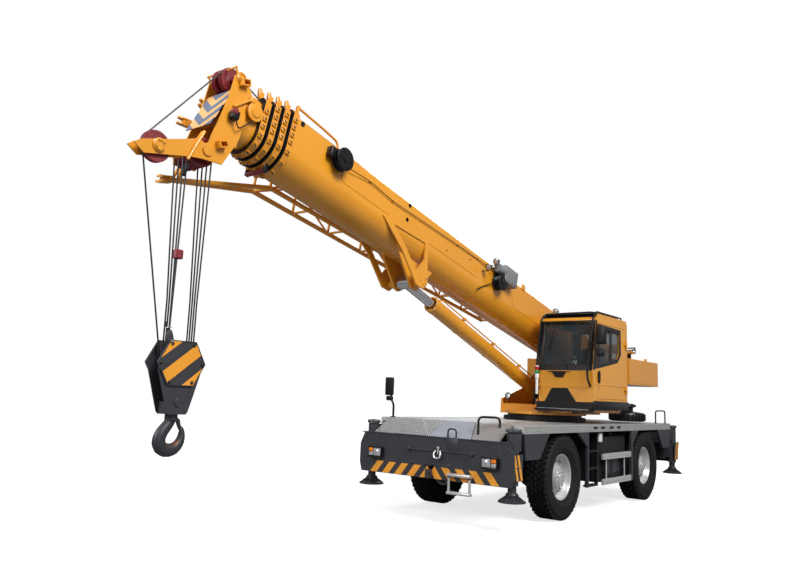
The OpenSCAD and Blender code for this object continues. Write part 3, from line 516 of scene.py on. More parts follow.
# Front step: a folded alloy tread and a rung on two bent legs, bolted under the bumper.
# It is left bright, and its treads are ribbed against slipping.
shape = bmesh.new()
for y in (0.355, 0.705):
    add_part(shape, bent_tube([(-0.002, y, 0.701), (0.055, y, 0.69), (0.055, y, 0.465)], 0.0185, 0.03))
for z in (0.446, 0.694):
    add_part(shape, block((0.018, 0.336, z), (0.092, 0.724, z + 0.038), 0.006))
    for n in range(12):
        y = 0.35 + n * 0.031
        add_part(shape, block((0.026, y, z + 0.036), (0.084, y + 0.012, z + 0.042), 0.002, 1))
fit_piece("front_step", shape, "carrier", "aluminium", zinc, place=on_bumper)


# Headlamps: black boxes on the bumper with a clear reflector lens and an amber turn lamp behind one glass.
# Boxes and lenses are moulded plastic; each box is screwed to the bumper plate.
def lens(name, colour, rough=0.14, metal=0.0, mottle=0.1):
    return finish(name, colour, rough, metal=metal, mottle=mottle, patch=60, grain=60, relief=0.25)


clear_lens = lens("clear_lens", (0.5, 0.51, 0.53), 0.1, 0.5, 0.05)
amber_lens = lens("amber_lens", (0.8, 0.22, 0.01))
shape = bmesh.new()
for side in (-1, 1):
    inner, outer = sorted((side * 0.894, side * 1.14))
    add_part(shape, block((0, inner, 0.852), (0.072, outer, 1.006), 0.01, 3))
    add_part(shape, block((0.06, inner - 0.004, 0.846), (0.084, outer + 0.004, 0.866), 0.006))
    add_part(shape, block((0.06, inner - 0.004, 0.992), (0.086, outer + 0.004, 1.012), 0.006))
    for near, far, low, high, tint in ((0.906, 1.04, 0.872, 0.988, 1), (1.052, 1.128, 0.932, 0.988, 2),
                                       (1.052, 1.128, 0.872, 0.924, 1)):
        a, b = sorted((side * near, side * far))
        add_part(shape, block((0.062, a, low), (0.08, b, high), 0.008, 3), tint=tint)
    add_part(shape, turned([(0.0, 0.014), (0.026, 0.012), (0.046, 0.0)], 24),
             face @ moved(side * 0.973, 0.93, 0.076), 1)
lamps = fit_piece("headlamp_units", shape, "carrier", "lamp", black, clear_lens, amber_lens, place=on_bumper)
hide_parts("headlamps")


# Deck: aluminium tread plate on the frame, with ribbed edge rails and plates folded down towards the bumper.
# The tread is pressed in lens-shaped studs that alternate in direction; the rails are extruded and left bare.
def calc(net, step, first, second=None, third=None):
    made = node(net, "Math")
    made.operation = step
    for socket, value in zip(made.inputs, (first, second, third)):
        if value is None:
            continue
        if isinstance(value, (int, float)):
            socket.default_value = value
        else:
            net.links.new(value, socket)
    return made.outputs[0]


def coords_of(net):
    return next(n for n in net.nodes if n.type == "TEX_COORD").outputs["Object"]


def place_of(net):
    parts = node(net, "SeparateXYZ")
    net.links.new(coords_of(net), parts.inputs[0])
    return parts.outputs


def second_coat(material, colour, mask, mode="MIX"):
    net = material.node_tree
    over = node(net, "Mix")
    over.data_type = "RGBA"
    over.blend_type = mode
    over.inputs["B"].default_value = (*colour, 1)
    net.links.new(mask, over.inputs["Factor"])
    base = net.nodes["Principled BSDF"].inputs["Base Color"]
    net.links.new(base.links[0].from_socket, over.inputs["A"])
    net.links.new(over.outputs["Result"], base)


def tread_plate(name, colour, pitch):
    made = finish(name, colour, 0.36, metal=0.55, mottle=0.07, patch=3, grain=120, relief=0.04)
    net = made.node_tree
    u, v = (calc(net, "DIVIDE", place, pitch) for place in place_of(net)[:2])
    odd = calc(net, "PINGPONG", calc(net, "ADD", calc(net, "FLOOR", u), calc(net, "FLOOR", v)), 1.0)
    sign = calc(net, "MULTIPLY_ADD", odd, 2.0, -1.0)
    fu, fv = (calc(net, "SUBTRACT", calc(net, "FRACT", w), 0.5) for w in (u, v))
    turned_v = calc(net, "MULTIPLY", fv, sign)
    along = calc(net, "DIVIDE", calc(net, "ADD", fu, turned_v), 0.62)
    across = calc(net, "DIVIDE", calc(net, "SUBTRACT", fu, turned_v), 0.24)
    reach = calc(net, "ADD", calc(net, "MULTIPLY", along, along), calc(net, "MULTIPLY", across, across))
    stud = remap(net, reach, 1.0, 0.35, 0.0, 1.0)
    stud.interpolation_type = "SMOOTHSTEP"
    bump = next(n for n in net.nodes if n.type == "BUMP")
    bump.inputs["Strength"].default_value = 0.9
    bump.inputs["Distance"].default_value = 0.006
    net.links.new(stud.outputs["Result"], bump.inputs["Height"])
    # The studs are painted lighter and the flats between them darker: painted highlight on the studs and painted
    # shade between them.
    value = next(n for n in net.nodes if n.type == "HUE_SAT").inputs["Value"]
    stud_light_and_shade = calc(net, "MULTIPLY_ADD", stud.outputs["Result"], 0.62, 0.66)
    net.links.new(calc(net, "MULTIPLY", value.links[0].from_socket, stud_light_and_shade), value)
    second_coat(made, (0.42, 0.41, 0.39), stud.outputs["Result"], "SCREEN")
    return made


studded = tread_plate("tread_plate", (0.47, 0.475, 0.485), 0.042)
fine_studded = tread_plate("fine_tread_plate", (0.48, 0.485, 0.495), 0.024)
rail_alloy = finish("rail_alloy", (0.56, 0.555, 0.545), 0.36, metal=0.5, mottle=0.05, patch=4)
hood_grey = finish("hood_grey", (0.27, 0.29, 0.33), 0.34, coat=0.2)
dress(rail_alloy, "deck")
bar_alloy = finish("bar_alloy", (0.56, 0.56, 0.565), 0.36, metal=0.4, mottle=0.05, patch=4)
net = bar_alloy.node_tree
within = calc(net, "LESS_THAN", calc(net, "ABSOLUTE", place_of(net)[1]), 1.2597)
second_coat(bar_alloy, (0.02, 0.021, 0.025), within)
dress(bar_alloy, "step_bars")
dress(slate, "front_slope")
DECK_Z, RAIL_SIDE, SLOPE_TOP, SLOPE_END, SLOPE_FALL = 1.45, 1.3, 3.24, 3.63, 0.232
slope = math.atan2(SLOPE_FALL, SLOPE_END - SLOPE_TOP)
on_slope = moved(SLOPE_TOP, 0, DECK_Z) @ about("Y", slope)
FALL = (SLOPE_END - SLOPE_TOP) / math.cos(slope)
shape = bmesh.new()
add_part(shape, cut_plate([(0, -1.118), (FALL, -1.118), (FALL, -0.075), (0.004, -0.46)], 0.004, 0.001),
         on_slope)
add_part(shape, cut_plate([(0.0, -0.45), (FALL - 0.01, -0.085), (0.0, -0.04)], 0.004, 0.001), on_slope, 1)
add_part(shape, cut_plate([(0, -0.03), (FALL, -0.07), (FALL, 0.66), (0, 0.5)], 0.01, 0.003), on_slope, 2)
add_part(shape, cut_plate([(0, 0.51), (FALL, 0.67), (FALL, 1.118), (0, 1.118)], 0.004, 0.001), on_slope)
add_part(shape, cut_plate([(0, -0.455), (0.012, -0.467), (FALL, -0.082), (FALL, -0.07)], 0.012, 0.003),
         on_slope, 3)
for low, high in ((-3.2, -0.8), (0.8, 3.235)):
    for side in (-1, 1):
        inner, outer = sorted((side * 0.02, side * 1.255))
        add_part(shape, cut_plate(oblong(low, high, inner, outer), 0.003, 0.001), moved(0, 0, DECK_Z))
for side in (-1, 1):
    inner, outer = sorted((side * 0.8, side * 1.255))
    add_part(shape, cut_plate(oblong(-0.79, 0.79, inner, outer), 0.003, 0.001), moved(0, 0, DECK_Z))
    add_part(shape, cut_plate([(3.24, side * 1.262), (3.24, side * 1.18), (3.6, side * 1.18),
                               (3.6, side * 1.235)], 0.004), moved(0, 0, DECK_Z - 0.09))
fit_piece("tread_plates", shape, "carrier", "aluminium", studded, fine_studded, hood_grey, rail_alloy)

# Side panels and steps: folded slate panels over the wheels with a bright top flange, ladders and alloy
# step bars. A white washer bottle, tank straps and filler caps sit between the wheels.
white_plastic = finish("white_plastic", (0.74, 0.75, 0.74), 0.45, mottle=0.04, patch=9)
shape = bmesh.new()
for side in (-1, 1):
    mirrored = scaled(1, side, 1)
    rail = mirrored @ facing_left(RAIL_SIDE)
    for n in range(27):
        a = -3.16 + n * 0.24
        add_part(shape, cut_plate(oblong(a, a + 0.2, 1.352, 1.362), 0.003, 0.001), rail)
    add_part(shape, cut_plate(oblong(-3.235, 3.235, 1.428, 1.446), 0.004, 0.0015), rail)
    add_part(shape, cut_plate(oblong(-3.235, 3.235, 1.335, 1.346), 0.004, 0.0015), rail)
    for a in (0.3, 0.62, -0.42, -0.09):
        # Four dark oblongs on each rail are painted shade in its hand holds.
        add_part(shape, block((a, 1.2995, 1.376), (a + 0.17, 1.3025, 1.416), 0.01, 3), mirrored, 1)
fit_piece("rail_ribs", shape, "carrier", "aluminium", rail_alloy, underbody_and_hole_shade)

shape = bmesh.new()
for side in (-1, 1):
    mirrored = scaled(1, side, 1)
    for z in (0.45, 0.73, 1.01):
        for n in range(9):
            add_part(shape, block((0.548 + n * 0.04, 1.172, z + 0.014), (0.566 + n * 0.04, 1.258, z + 0.02),
                                  0.002, 1), mirrored, 1)
    for z in (0.48, 0.905):
        for n in range(22):
            add_part(shape, block((-0.935 + n * 0.058, 1.262, z + 0.047),
                                  (-0.905 + n * 0.058, 1.293, z + 0.052), 0.0015, 1), mirrored, 2)
        add_part(shape, block((-0.955, 1.294, z - 0.012), (0.365, 1.2995, z + 0.012), 0.003, 1), mirrored, 2)
    for x in (-0.72, -0.24, 0.22):
        add_part(shape, block((x - 0.02, 0.636, 0.466), (x + 0.02, 1.1935, 1.2345), 0.004, 1), mirrored, 1)
    add_part(shape, turned([(0.0, 0.06), (0.052, 0.058), (0.058, 0.05), (0.058, 0.012), (0.044, 0.0)], 24),
             mirrored @ moved(-0.46, 1.06, 1.229), 1)
    for low, high in ((-0.66, -0.3), (-0.18, 0.16)):
        add_part(shape, block((low, 1.186, 0.6), (high, 1.1945, 0.84), 0.012, 3), mirrored)
fit_piece("side_fittings", shape, "carrier", "frame_paint", slate, black, rail_alloy)

shape = bmesh.new()
add_part(shape, block((-0.062, -0.045, 0.0), (0.062, 0.045, 0.16), 0.016, 4), moved(0.335, 1.2, 1.148))
add_part(shape, turned([(0.0, 0.035), (0.022, 0.034), (0.026, 0.028), (0.026, 0.0)], 20),
         moved(0.335, 1.2, 1.307), 1)
add_part(shape, block((0.265, 1.146, 1.14), (0.405, 1.16, 1.3), 0.003), tint=1)
fit_piece("washer_bottle", shape, "carrier", "lamp", white_plastic, black)

# Handrails and kerb mirror: bent black tube bolted to the deck, with one tall mirror head on a cranked post.
# Heads are moulded shells with the glass set in their rear face.
mirror_glass = finish("mirror_glass", (0.62, 0.66, 0.7), 0.04, metal=1.0, mottle=0.02, gloss_shift=0.01)
shape = bmesh.new()
add_part(shape, bent_tube([(3.5, 0.7, 1.29), (3.5, 0.7, 1.545), (3.32, 0.95, 1.545), (3.32, 0.95, 1.4)], 0.017,
                          0.07))
for y in (-1.22, 1.22):
    add_part(shape, bent_tube([(-2.56, y, DECK_Z), (-2.56, y, 1.705), (-3.15, y, 1.705), (-3.15, y, DECK_Z)],
                              0.014, 0.08))
    for x in (-2.56, -3.15):
        add_part(shape, turned([(0.014, 0.016), (0.034, 0.012), (0.036, 0.0)], 20), moved(x, y, DECK_Z))
add_part(shape, bent_tube([(3.16, -1.12, DECK_Z), (3.16, -1.12, 1.66), (3.17, -1.17, 1.74),
                           (3.17, -1.17, 2.02)], 0.017, 0.06))
add_part(shape, turned([(0.017, 0.022), (0.044, 0.016), (0.046, 0.0)], 20), moved(3.16, -1.12, DECK_Z))
for low, high, y0, y1 in ((1.8, 2.09, -1.262, -1.098), (1.715, 1.79, -1.235, -1.105)):
    add_part(shape, block((3.185, y0, low), (3.232, y1, high), 0.02, 4))
    add_part(shape, block((3.18, y0 + 0.014, low + 0.014), (3.186, y1 - 0.014, high - 0.014), 0.002), tint=1)
for z in (1.76, 1.98):
    add_part(shape, bent_tube([(3.17, -1.17, z), (3.2, -1.17, z)], 0.012))
rails = fit_piece("rails_and_mirror", shape, "carrier", "black_paint", black, mirror_glass)
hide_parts("handrails")

# Rear bumper: folded plate with warning bars and clustered tail lamps in black boxes.
# Stop and turn lenses are moulded plastic over reflectors.
red_lens = lens("red_lens", (0.42, 0.012, 0.01))
REAR_X = -3.65
shape = bmesh.new()
back = scaled(-1, 1, 1) @ facing_front(-REAR_X)
warning_bars(shape, back, 0.664, 0.838)
for side in (-1, 1):
    low, high = sorted((side * 0.72, side * 1.06))
    add_part(shape, block((REAR_X - 0.062, low, 0.92), (REAR_X, high, 1.06), 0.01, 3), tint=3)
    for n, tint in enumerate((4, 5, 6)):
        a, b = sorted((side * (0.73 + n * 0.11), side * (0.83 + n * 0.11)))
        add_part(shape, block((REAR_X - 0.072, a, 0.93), (REAR_X - 0.058, b, 1.05), 0.008, 3), tint=tint)
fit_piece("rear_markings", shape, "carrier", "frame_paint", slate, signal, navy, black, red_lens, amber_lens,
          clear_lens)

# Turret: a welded plate frame in orange-yellow gloss paint that turns on a bolted black ring. Upright
# plates carry the boom's foot and the lift cylinder; gussets, pin caps and oil lines are fixed to them.
yellow = finish("crane_yellow", (0.71, 0.29, 0.017), 0.27, coat=0.4, mottle=0.03, patch=1.1)
dress(yellow, "turret_frame", "counterweight", "winch", "boom_base", "lift_barrel", "jib",
      *[f"boom_section_{n}" for n in range(2, 6)])
PLATE_Y, BOOM_Y, FOOT_X, FOOT_Z = (-0.63, 0.13), -0.25, -1.557, 2.574
shape = bmesh.new()
for n in range(44):
    turn = about("Z", n * 2 * math.pi / 44)
    spot = turn @ Vector((0.728, 0, 0))
    if not (-0.66 < spot.y < 0.17 and spot.x < 0.55):
        add_part(shape, nut(0.013, 0.016), moved(spot.x, spot.y, 1.619), 1)
for side, y in ((-1, PLATE_Y[0]), (1, PLATE_Y[1])):
    wall_out = moved(0, y, 0) @ scaled(1, side, 1)
    for x, top in ((-2.05, 2.16), (-1.25, 2.38), (-0.62, 2.02), (0.05, 1.9)):
        rib = cut_plate([(0, 1.612), (0.085, 1.612), (0.055, 1.7), (0.055, top - 0.12), (0, top)], 0.02, 0.002)
        add_part(shape, rib, wall_out @ facing_front(x))
    pin = wall_out @ moved(FOOT_X, 0, FOOT_Z) @ about("X", -math.pi / 2)
    add_part(shape, turned([(0.0, 0.046), (0.048, 0.044), (0.056, 0.036), (0.06, 0.03), (0.105, 0.026),
                            (0.11, 0.018), (0.11, 0.0)], 32), pin)
    bolt_ring(shape, pin, 6, 0.083, 0.032, (0.011, 0.012))
for z, x in ((1.665, 0.3), (1.69, 0.34), (1.715, 0.38)):
    oil_line = [(-2.2, 0.016, 0.25), (-1.4, 0.016, 0.25), (-1.1, 0.016, 0), (x, 0.016, 0),
                (x + 0.03, -0.3, -0.06)]
    add_part(shape, bent_tube(oil_line, 0.0085, 0.06, 8), moved(0, PLATE_Y[1], z), 2)
fit_piece("turret_fittings", shape, "turret", "crane_yellow", yellow, bare_steel, black)

# Slewing motor and work lamp: bought-in units in black and grey at the front of the turret.
# The motor stands on the ring; the lamp is a round shell with a clear lens on a bent bracket.
shape = bmesh.new()
motor = moved(0.3, -0.018, 1.612) @ scaled(0.72, 0.72, 1)
add_part(shape, turned([(0.0, 0.4), (0.055, 0.4), (0.062, 0.392), (0.062, 0.27), (0.085, 0.262), (0.088, 0.2),
                        (0.105, 0.19), (0.108, 0.035), (0.125, 0.028), (0.125, 0.0)], 32), motor)
bolt_ring(shape, motor, 8, 0.115, 0.033, (0.01, 0.012), 2)
add_part(shape, bent_tube([(0.3, -0.01, 1.99), (0.3, -0.01, 2.04), (0.18, 0.02, 2.06), (-0.05, 0.03, 1.9),
                           (-0.35, 0.03, 1.66)], 0.014, 0.06))
add_part(shape, bent_tube([(0.33, -0.02, 1.9), (0.42, -0.01, 1.92), (0.45, 0.02, 1.8), (0.4, 0.03, 1.64)],
                          0.012, 0.05))
add_part(shape, bent_tube([(0.5, -0.475, 1.735), (0.5, -0.475, 1.85), (0.52, -0.475, 1.87)], 0.009, 0.03))
lamp = moved(0.53, -0.475, 1.88) @ about("Y", math.radians(80))
add_part(shape, turned([(0.0, -0.055), (0.03, -0.052), (0.052, -0.02), (0.06, 0.016), (0.06, 0.024),
                        (0.054, 0.024)], 28), lamp)
add_part(shape, turned([(0.0, 0.028), (0.036, 0.026), (0.055, 0.018)], 28), lamp, 1)
fit_piece("slew_motor_and_lamp", shape, "turret", "black_paint", black, clear_lens, bare_steel)

# Counterweight: a cast and plated block hung behind the boom's foot, painted like the turret.
# Cover plates with set screws, lifting eyes and edge bands are welded or bolted on.
shape = bmesh.new()
for side in (-1, 1):
    mirrored = scaled(1, side, 1)
    face = mirrored @ facing_left(1.1)
    add_part(shape, cut_plate(oblong(-3.08, -1.43, 2.23, 2.66), 0.004, 0.002), face)
    for x in (-3.03, -2.26, -1.48):
        for z in (2.28, 2.61):
            add_part(shape, nut(0.014, 0.01), face @ moved(x, z, 0.008))
    add_part(shape, block((-3.09, 1.06, 2.686), (-1.41, 1.098, 2.7), 0.003), mirrored)
    eye = cut_plate([(-0.07, 0.0), (0.07, 0.0), (0.05, 0.07), (0.03, 0.095), (-0.03, 0.095), (-0.05, 0.07)],
                    0.03, 0.004)
    add_part(shape, eye, mirrored @ moved(-2.9, 0.92, 2.69) @ about("X", math.pi / 2))
for n in range(3):
    a = -0.6 + n * 0.41
    add_part(shape, block((-3.305, a, 2.26), (-3.298, a + 0.38, 2.64), 0.004))
fit_piece("weight_covers", shape, "turret", "crane_yellow", yellow)

# Winch: a grooved drum between flanged plates with its rope wound on in close layers, and a round brake
# housing. The rope leads up over the boom; the wire is galvanised and lightly oiled.
rope_wire = finish("wire_rope", (0.046, 0.044, 0.045), 0.42, metal=0.5, mottle=0.2, patch=40)
WINCH_X, WINCH_Z = -2.78, 2.99
drum = moved(WINCH_X, BOOM_Y, WINCH_Z) @ about("X", math.pi / 2)
shape = bmesh.new()
lay = [(0.142, -0.268)]
for n in range(28):
    middle = -0.268 + (n + 0.5) * 0.536 / 28
    lay += [(0.188, middle - 0.0095), (0.195, middle - 0.0055), (0.198, middle), (0.195, middle + 0.0055)]
lay += [(0.188, 0.268), (0.142, 0.268)]
add_part(shape, turned(lay, 40), drum)
fit_piece("drum_rope", shape, "turret", "dark_steel", rope_wire)
shape = bmesh.new()
for y, turn in ((-0.6, math.pi / 2), (0.342, -math.pi / 2)):
    hub = moved(WINCH_X, y, WINCH_Z) @ about("X", turn)
    add_part(shape, turned([(0.0, 0.0), (0.07, 0.0), (0.08, -0.01), (0.104, -0.012)], 32), hub)
    bolt_ring(shape, hub, 8, 0.088, -0.006, (0.01, 0.012))
fit_piece("winch_covers", shape, "turret", "crane_yellow", yellow, bare_steel)

# Ribbed cooler drum and silencer: a black moulded cover hung at the turret's left rear, and a bright tail
# pipe. The cover is turned with a neck and cap; ribs are moulded round it; the pipe lies in a strap on
# the weight.
chrome = finish("bright_pipe", (0.66, 0.67, 0.69), 0.16, metal=0.95, mottle=0.05, patch=9)
shape = bmesh.new()
drum = moved(-1.66, 0.96, 1.485)
add_part(shape, turned([(0.0, 0.0), (0.3, 0.0), (0.33, 0.012), (0.338, 0.05), (0.338, 0.13), (0.318, 0.165),
                        (0.2, 0.182), (0.125, 0.188), (0.115, 0.2), (0.115, 0.268), (0.155, 0.276),
                        (0.175, 0.292), (0.168, 0.322), (0.1, 0.342), (0.0, 0.345)], 48), drum)
for n in range(28):
    spot = drum @ about("Z", n * math.pi / 14)
    add_part(shape, block((0.328, -0.012, 0.018), (0.352, 0.012, 0.146), 0.005), spot)
add_part(shape, block((-1.7, 0.14, 1.625), (-1.62, 0.9, 1.665), 0.006))
add_part(shape, block((-2.14, 0.8, 2.69), (-2.08, 0.88, 2.845), 0.006))
pipe = moved(-2.11, 0.72, 2.905) @ about("X", -math.pi / 2)
add_part(shape, turned([(0.0, 0.03), (0.058, 0.03), (0.062, 0.0), (0.074, 0.0), (0.078, 0.008), (0.078, 0.232),
                        (0.074, 0.24), (0.062, 0.24), (0.058, 0.21), (0.0, 0.21)], 36), pipe, 1)
fit_piece("cooler_drum_and_tail_pipe", shape, "turret", "black_paint", black, chrome)

# Cab shell: pressed steel panels in orange-yellow, with a black surround bonded round the windscreen and
# a black skirt. Swage lines, the lower grille, wiper, marker lights and step are fixed to the front.
glazing = bpy.data.materials.new("tinted_glass")
glazing.use_nodes = True
net = glazing.node_tree
pane = net.nodes["Principled BSDF"]
pane.inputs["Metallic"].default_value = 0.0
pane.inputs["IOR"].default_value = 1.45
pane.inputs["Alpha"].default_value = 0.44
coords = node(net, "TexCoord").outputs["Object"]
haze = node(net, "ValToRGB")
haze.color_ramp.elements[0].color = (0.03, 0.044, 0.052, 1)
haze.color_ramp.elements[1].color = (0.052, 0.072, 0.082, 1)
net.links.new(noise_field(net, coords, 1.4, 3), haze.inputs["Fac"])
net.links.new(haze.outputs["Color"], pane.inputs["Base Color"])
net.links.new(spread(net, noise_field(net, coords, 5, 3), 0.02, 0.07), pane.inputs["Roughness"])
dress(glazing, "cab_glass", "door_glass")
cab_paint = finish("cab_paint", (0.72, 0.305, 0.018), 0.25, coat=0.45, mottle=0.025, patch=1.1)
net = cab_paint.node_tree
# The cab shell's inner faces are painted near-black: painted shade for the dim cab interior.
x, y, z = place_of(net)
rise = calc(net, "SUBTRACT", z, 2.34)
cab_inside_shade = calc(net, "MULTIPLY", calc(net, "GREATER_THAN", y, 0.292), calc(net, "LESS_THAN", y, 1.238))
for limit in (calc(net, "GREATER_THAN", x, -0.778), calc(net, "GREATER_THAN", z, 1.732),
              calc(net, "LESS_THAN", z, 3.308), calc(net, "LESS_THAN",
                                                     calc(net, "MULTIPLY_ADD", rise, 0.1429, x), 0.7485),
              calc(net, "LESS_THAN", calc(net, "MULTIPLY_ADD", rise, -0.1385, x), 0.7485)):
    cab_inside_shade = calc(net, "MULTIPLY", cab_inside_shade, limit)
second_coat(cab_paint, (0.02, 0.02, 0.022), cab_inside_shade)
dress(cab_paint, "cab_shell", "cab_door")


def on_plane(origin, along, up):
    along, up = Vector(along).normalized(), Vector(up).normalized()
    out = along.cross(up)
    return Matrix.Translation(origin) @ Matrix((along, up, out)).transposed().to_4x4()


NOSE_X, SILL_X, BROW_X, FLOOR_Z, WAIST_Z, BROW_Z, CAB_SIDE = 0.79, 0.7, 0.66, 1.69, 2.34, 3.25, 1.28
lower_front = on_plane((SILL_X, 0, FLOOR_Z), (0, 1, 0), (NOSE_X - SILL_X, 0, WAIST_Z - FLOOR_Z))
upper_front = on_plane((NOSE_X, 0, WAIST_Z), (0, 1, 0), (BROW_X - NOSE_X, 0, BROW_Z - WAIST_Z))
LOW_K = math.hypot(NOSE_X - SILL_X, WAIST_Z - FLOOR_Z) / (WAIST_Z - FLOOR_Z)
UP_K = math.hypot(BROW_X - NOSE_X, BROW_Z - WAIST_Z) / (BROW_Z - WAIST_Z)


def front_panel(outline, thick, edge=0.002):
    part = cut_plate([(y, (z - FLOOR_Z) * LOW_K) for y, z in outline], thick, edge)
    return part, lower_front


def screen_panel(outline, thick, edge=0.002):
    part = cut_plate([(y, (z - WAIST_Z) * UP_K) for y, z in outline], thick, edge)
    return part, upper_front


shape = bmesh.new()
surround = [oblong(0.256, 1.274, 2.352, 2.452), [(0.256, 2.452), (0.334, 2.452), (0.334, 3.2), (0.256, 3.235)],
            [(1.176, 2.452), (1.276, 2.452), (1.276, 3.235), (1.176, 3.2)],
            [(0.334, 3.195), (1.176, 3.195), (1.276, 3.228), (0.256, 3.228)]]
for outline in surround:
    add_part(shape, *screen_panel(outline, 0.009))
add_part(shape, *front_panel([(0.44, 2.338), (0.535, 2.318), (0.593, 2.232), (0.739, 2.232), (0.787, 2.318),
                              (0.89, 2.338)], 0.012))
add_part(shape, *front_panel([(0.513, 2.048), (0.805, 2.052), (0.955, 1.822), (0.362, 1.812)], 0.014, 0.004))
for z in (1.86, 1.91, 1.96):
    add_part(shape, *front_panel(oblong(0.5, 0.82, z, z + 0.012), 0.019, 0.003))
add_part(shape, *front_panel([(0.2, 1.69), (1.282, 1.69), (1.282, 1.822), (0.2, 1.806)], 0.022, 0.004))
add_part(shape, block((-0.835, 1.262, 1.688), (0.735, 1.302, 1.846), 0.008))
add_part(shape, block((-0.838, 0.22, 1.688), (-0.812, 1.302, 1.8), 0.006))
add_part(shape, block((0.66, 0.24, 1.648), (0.88, 1.26, 1.69), 0.008))
for n in range(15):
    add_part(shape, block((0.715, 0.3 + n * 0.062, 1.689), (0.868, 0.325 + n * 0.062, 1.697), 0.002, 1), tint=1)
add_part(shape, cut_plate([(0.61, 2.405), (0.776, 2.362), (0.664, 3.235), (0.61, 3.235)], 0.006, 0.002),
         facing_left(CAB_SIDE))
brow = on_plane((BROW_X, 0, BROW_Z), (0, 1, 0), (-0.11, 0, 0.1))
add_part(shape, cut_plate(oblong(0.262, 1.268, 0.055, 0.146), 0.01, 0.003), brow)
wiper = [(0.82, 2.4), (0.735, 2.5), (0.5, 2.86)]
arm = [upper_front @ Vector((y, (z - WAIST_Z) * UP_K, 0.03)) for y, z in wiper]
add_part(shape, bent_tube([upper_front @ Vector((0.82, 0.065, 0.0)), *arm], 0.007, 0.03, 8))
blade = [upper_front @ Vector((y, (z - WAIST_Z) * UP_K, 0.018)) for y, z in ((0.44, 2.6), (0.53, 3.1))]
add_part(shape, bent_tube(blade, 0.007, 0.03, 8))
fit_piece("cab_black_trim", shape, "turret", "black_paint", black, rail_alloy)

shape = bmesh.new()
add_part(shape, *front_panel(oblong(0.252, 0.5, 2.066, 2.084), 0.006, 0.003))
add_part(shape, *front_panel(oblong(0.82, 1.278, 2.066, 2.084), 0.006, 0.003))
add_part(shape, block((-0.8, 1.278, 2.112), (-0.74, 1.2865, 2.132), 0.003))
add_part(shape, block((0.604, 1.278, 2.112), (0.745, 1.2865, 2.132), 0.003))
for x in (-0.7, 0.4):
    add_part(shape, block((x, 0.3, 3.346), (x + 0.05, 1.23, 3.362), 0.006))
add_part(shape, block((-0.6, 0.42, 3.348), (-0.5, 1.11, 3.375), 0.01, 3))
fit_piece("cab_swages", shape, "turret", "crane_yellow", yellow)

green_lens = lens("green_lens", (0.01, 0.26, 0.085))
shape = bmesh.new()
post = moved(0.835, 0.262, 1.93)
add_part(shape, turned([(0.0, 0.0), (0.022, 0.0), (0.024, 0.006), (0.024, 0.27), (0.036, 0.275), (0.036, 0.29),
                        (0.0, 0.29)], 20), post)
for n, tint in enumerate((0, 2, 1)):
    add_part(shape, turned([(0.0, 0.0), (0.036, 0.0), (0.038, 0.004), (0.038, 0.058), (0.036, 0.062),
                            (0.0, 0.062)], 24), post @ moved(0, 0, 0.29 + n * 0.064), tint)
add_part(shape, turned([(0.0, 0.02), (0.03, 0.016), (0.038, 0.0)], 24), post @ moved(0, 0, 0.482))
for z in (2.02, 2.14):
    add_part(shape, block((0.745, 0.25, z), (0.835, 0.274, z + 0.03), 0.004), tint=3)
fit_piece("load_signal_lights", shape, "turret", "lamp", white_plastic, red_lens, green_lens, black)

# Cab door: one pressing with a black frame round its two panes, a recessed pull handle and exposed hinges.
# It hangs from two pins at its rear edge.
shape = bmesh.new()
rim = [(0.59, 2.4), (-0.335, 2.548), (-0.492, 2.7), (-0.478, 3.152), (0.59, 3.176)]
sight = [(0.505, 2.468), (-0.308, 2.616), (-0.424, 2.734), (-0.414, 3.086), (0.505, 3.112)]
border(shape, rim, sight, 0.007, facing_left(CAB_SIDE))
add_part(shape, cut_plate([(-0.1, 2.576), (0.005, 2.556), (0.005, 3.105), (-0.1, 3.1)], 0.008, 0.002),
         facing_left(1.262))
grip = [(0.54 + 0.04 * math.cos(n * math.pi / 12),
         2.255 + 0.112 * math.sin(n * math.pi / 12)) for n in range(24)]
add_part(shape, cut_plate(grip, 0.028, 0.006, 2), facing_left(1.279))
fit_piece("door_frame_trim", shape, "door", "black_paint", black)
shape = bmesh.new()
add_part(shape, block((-0.71, 1.278, 2.112), (0.588, 1.2865, 2.132), 0.003))
add_part(shape, block((0.505, 1.279, 2.05), (0.52, 1.284, 2.098), 0.002), tint=1)
fit_piece("door_swage", shape, "door", "crane_yellow", yellow, bare_steel)


# Roof guard, grab rails and mirrors: black tube and slats on the roof, a rail up the left screen pillar,
# two mirror heads. The tubes are bent and clamped; the work lamp stands on the guard's right rail.
def work_lamp(whole, place, glass):
    shell = [(0.0, -0.052), (0.034, -0.048), (0.052, -0.014), (0.058, 0.016), (0.058, 0.024), (0.05, 0.024)]
    add_part(whole, turned(shell, 28), place)
    add_part(whole, turned([(0.0, 0.03), (0.034, 0.027), (0.052, 0.018)], 28), place, glass)


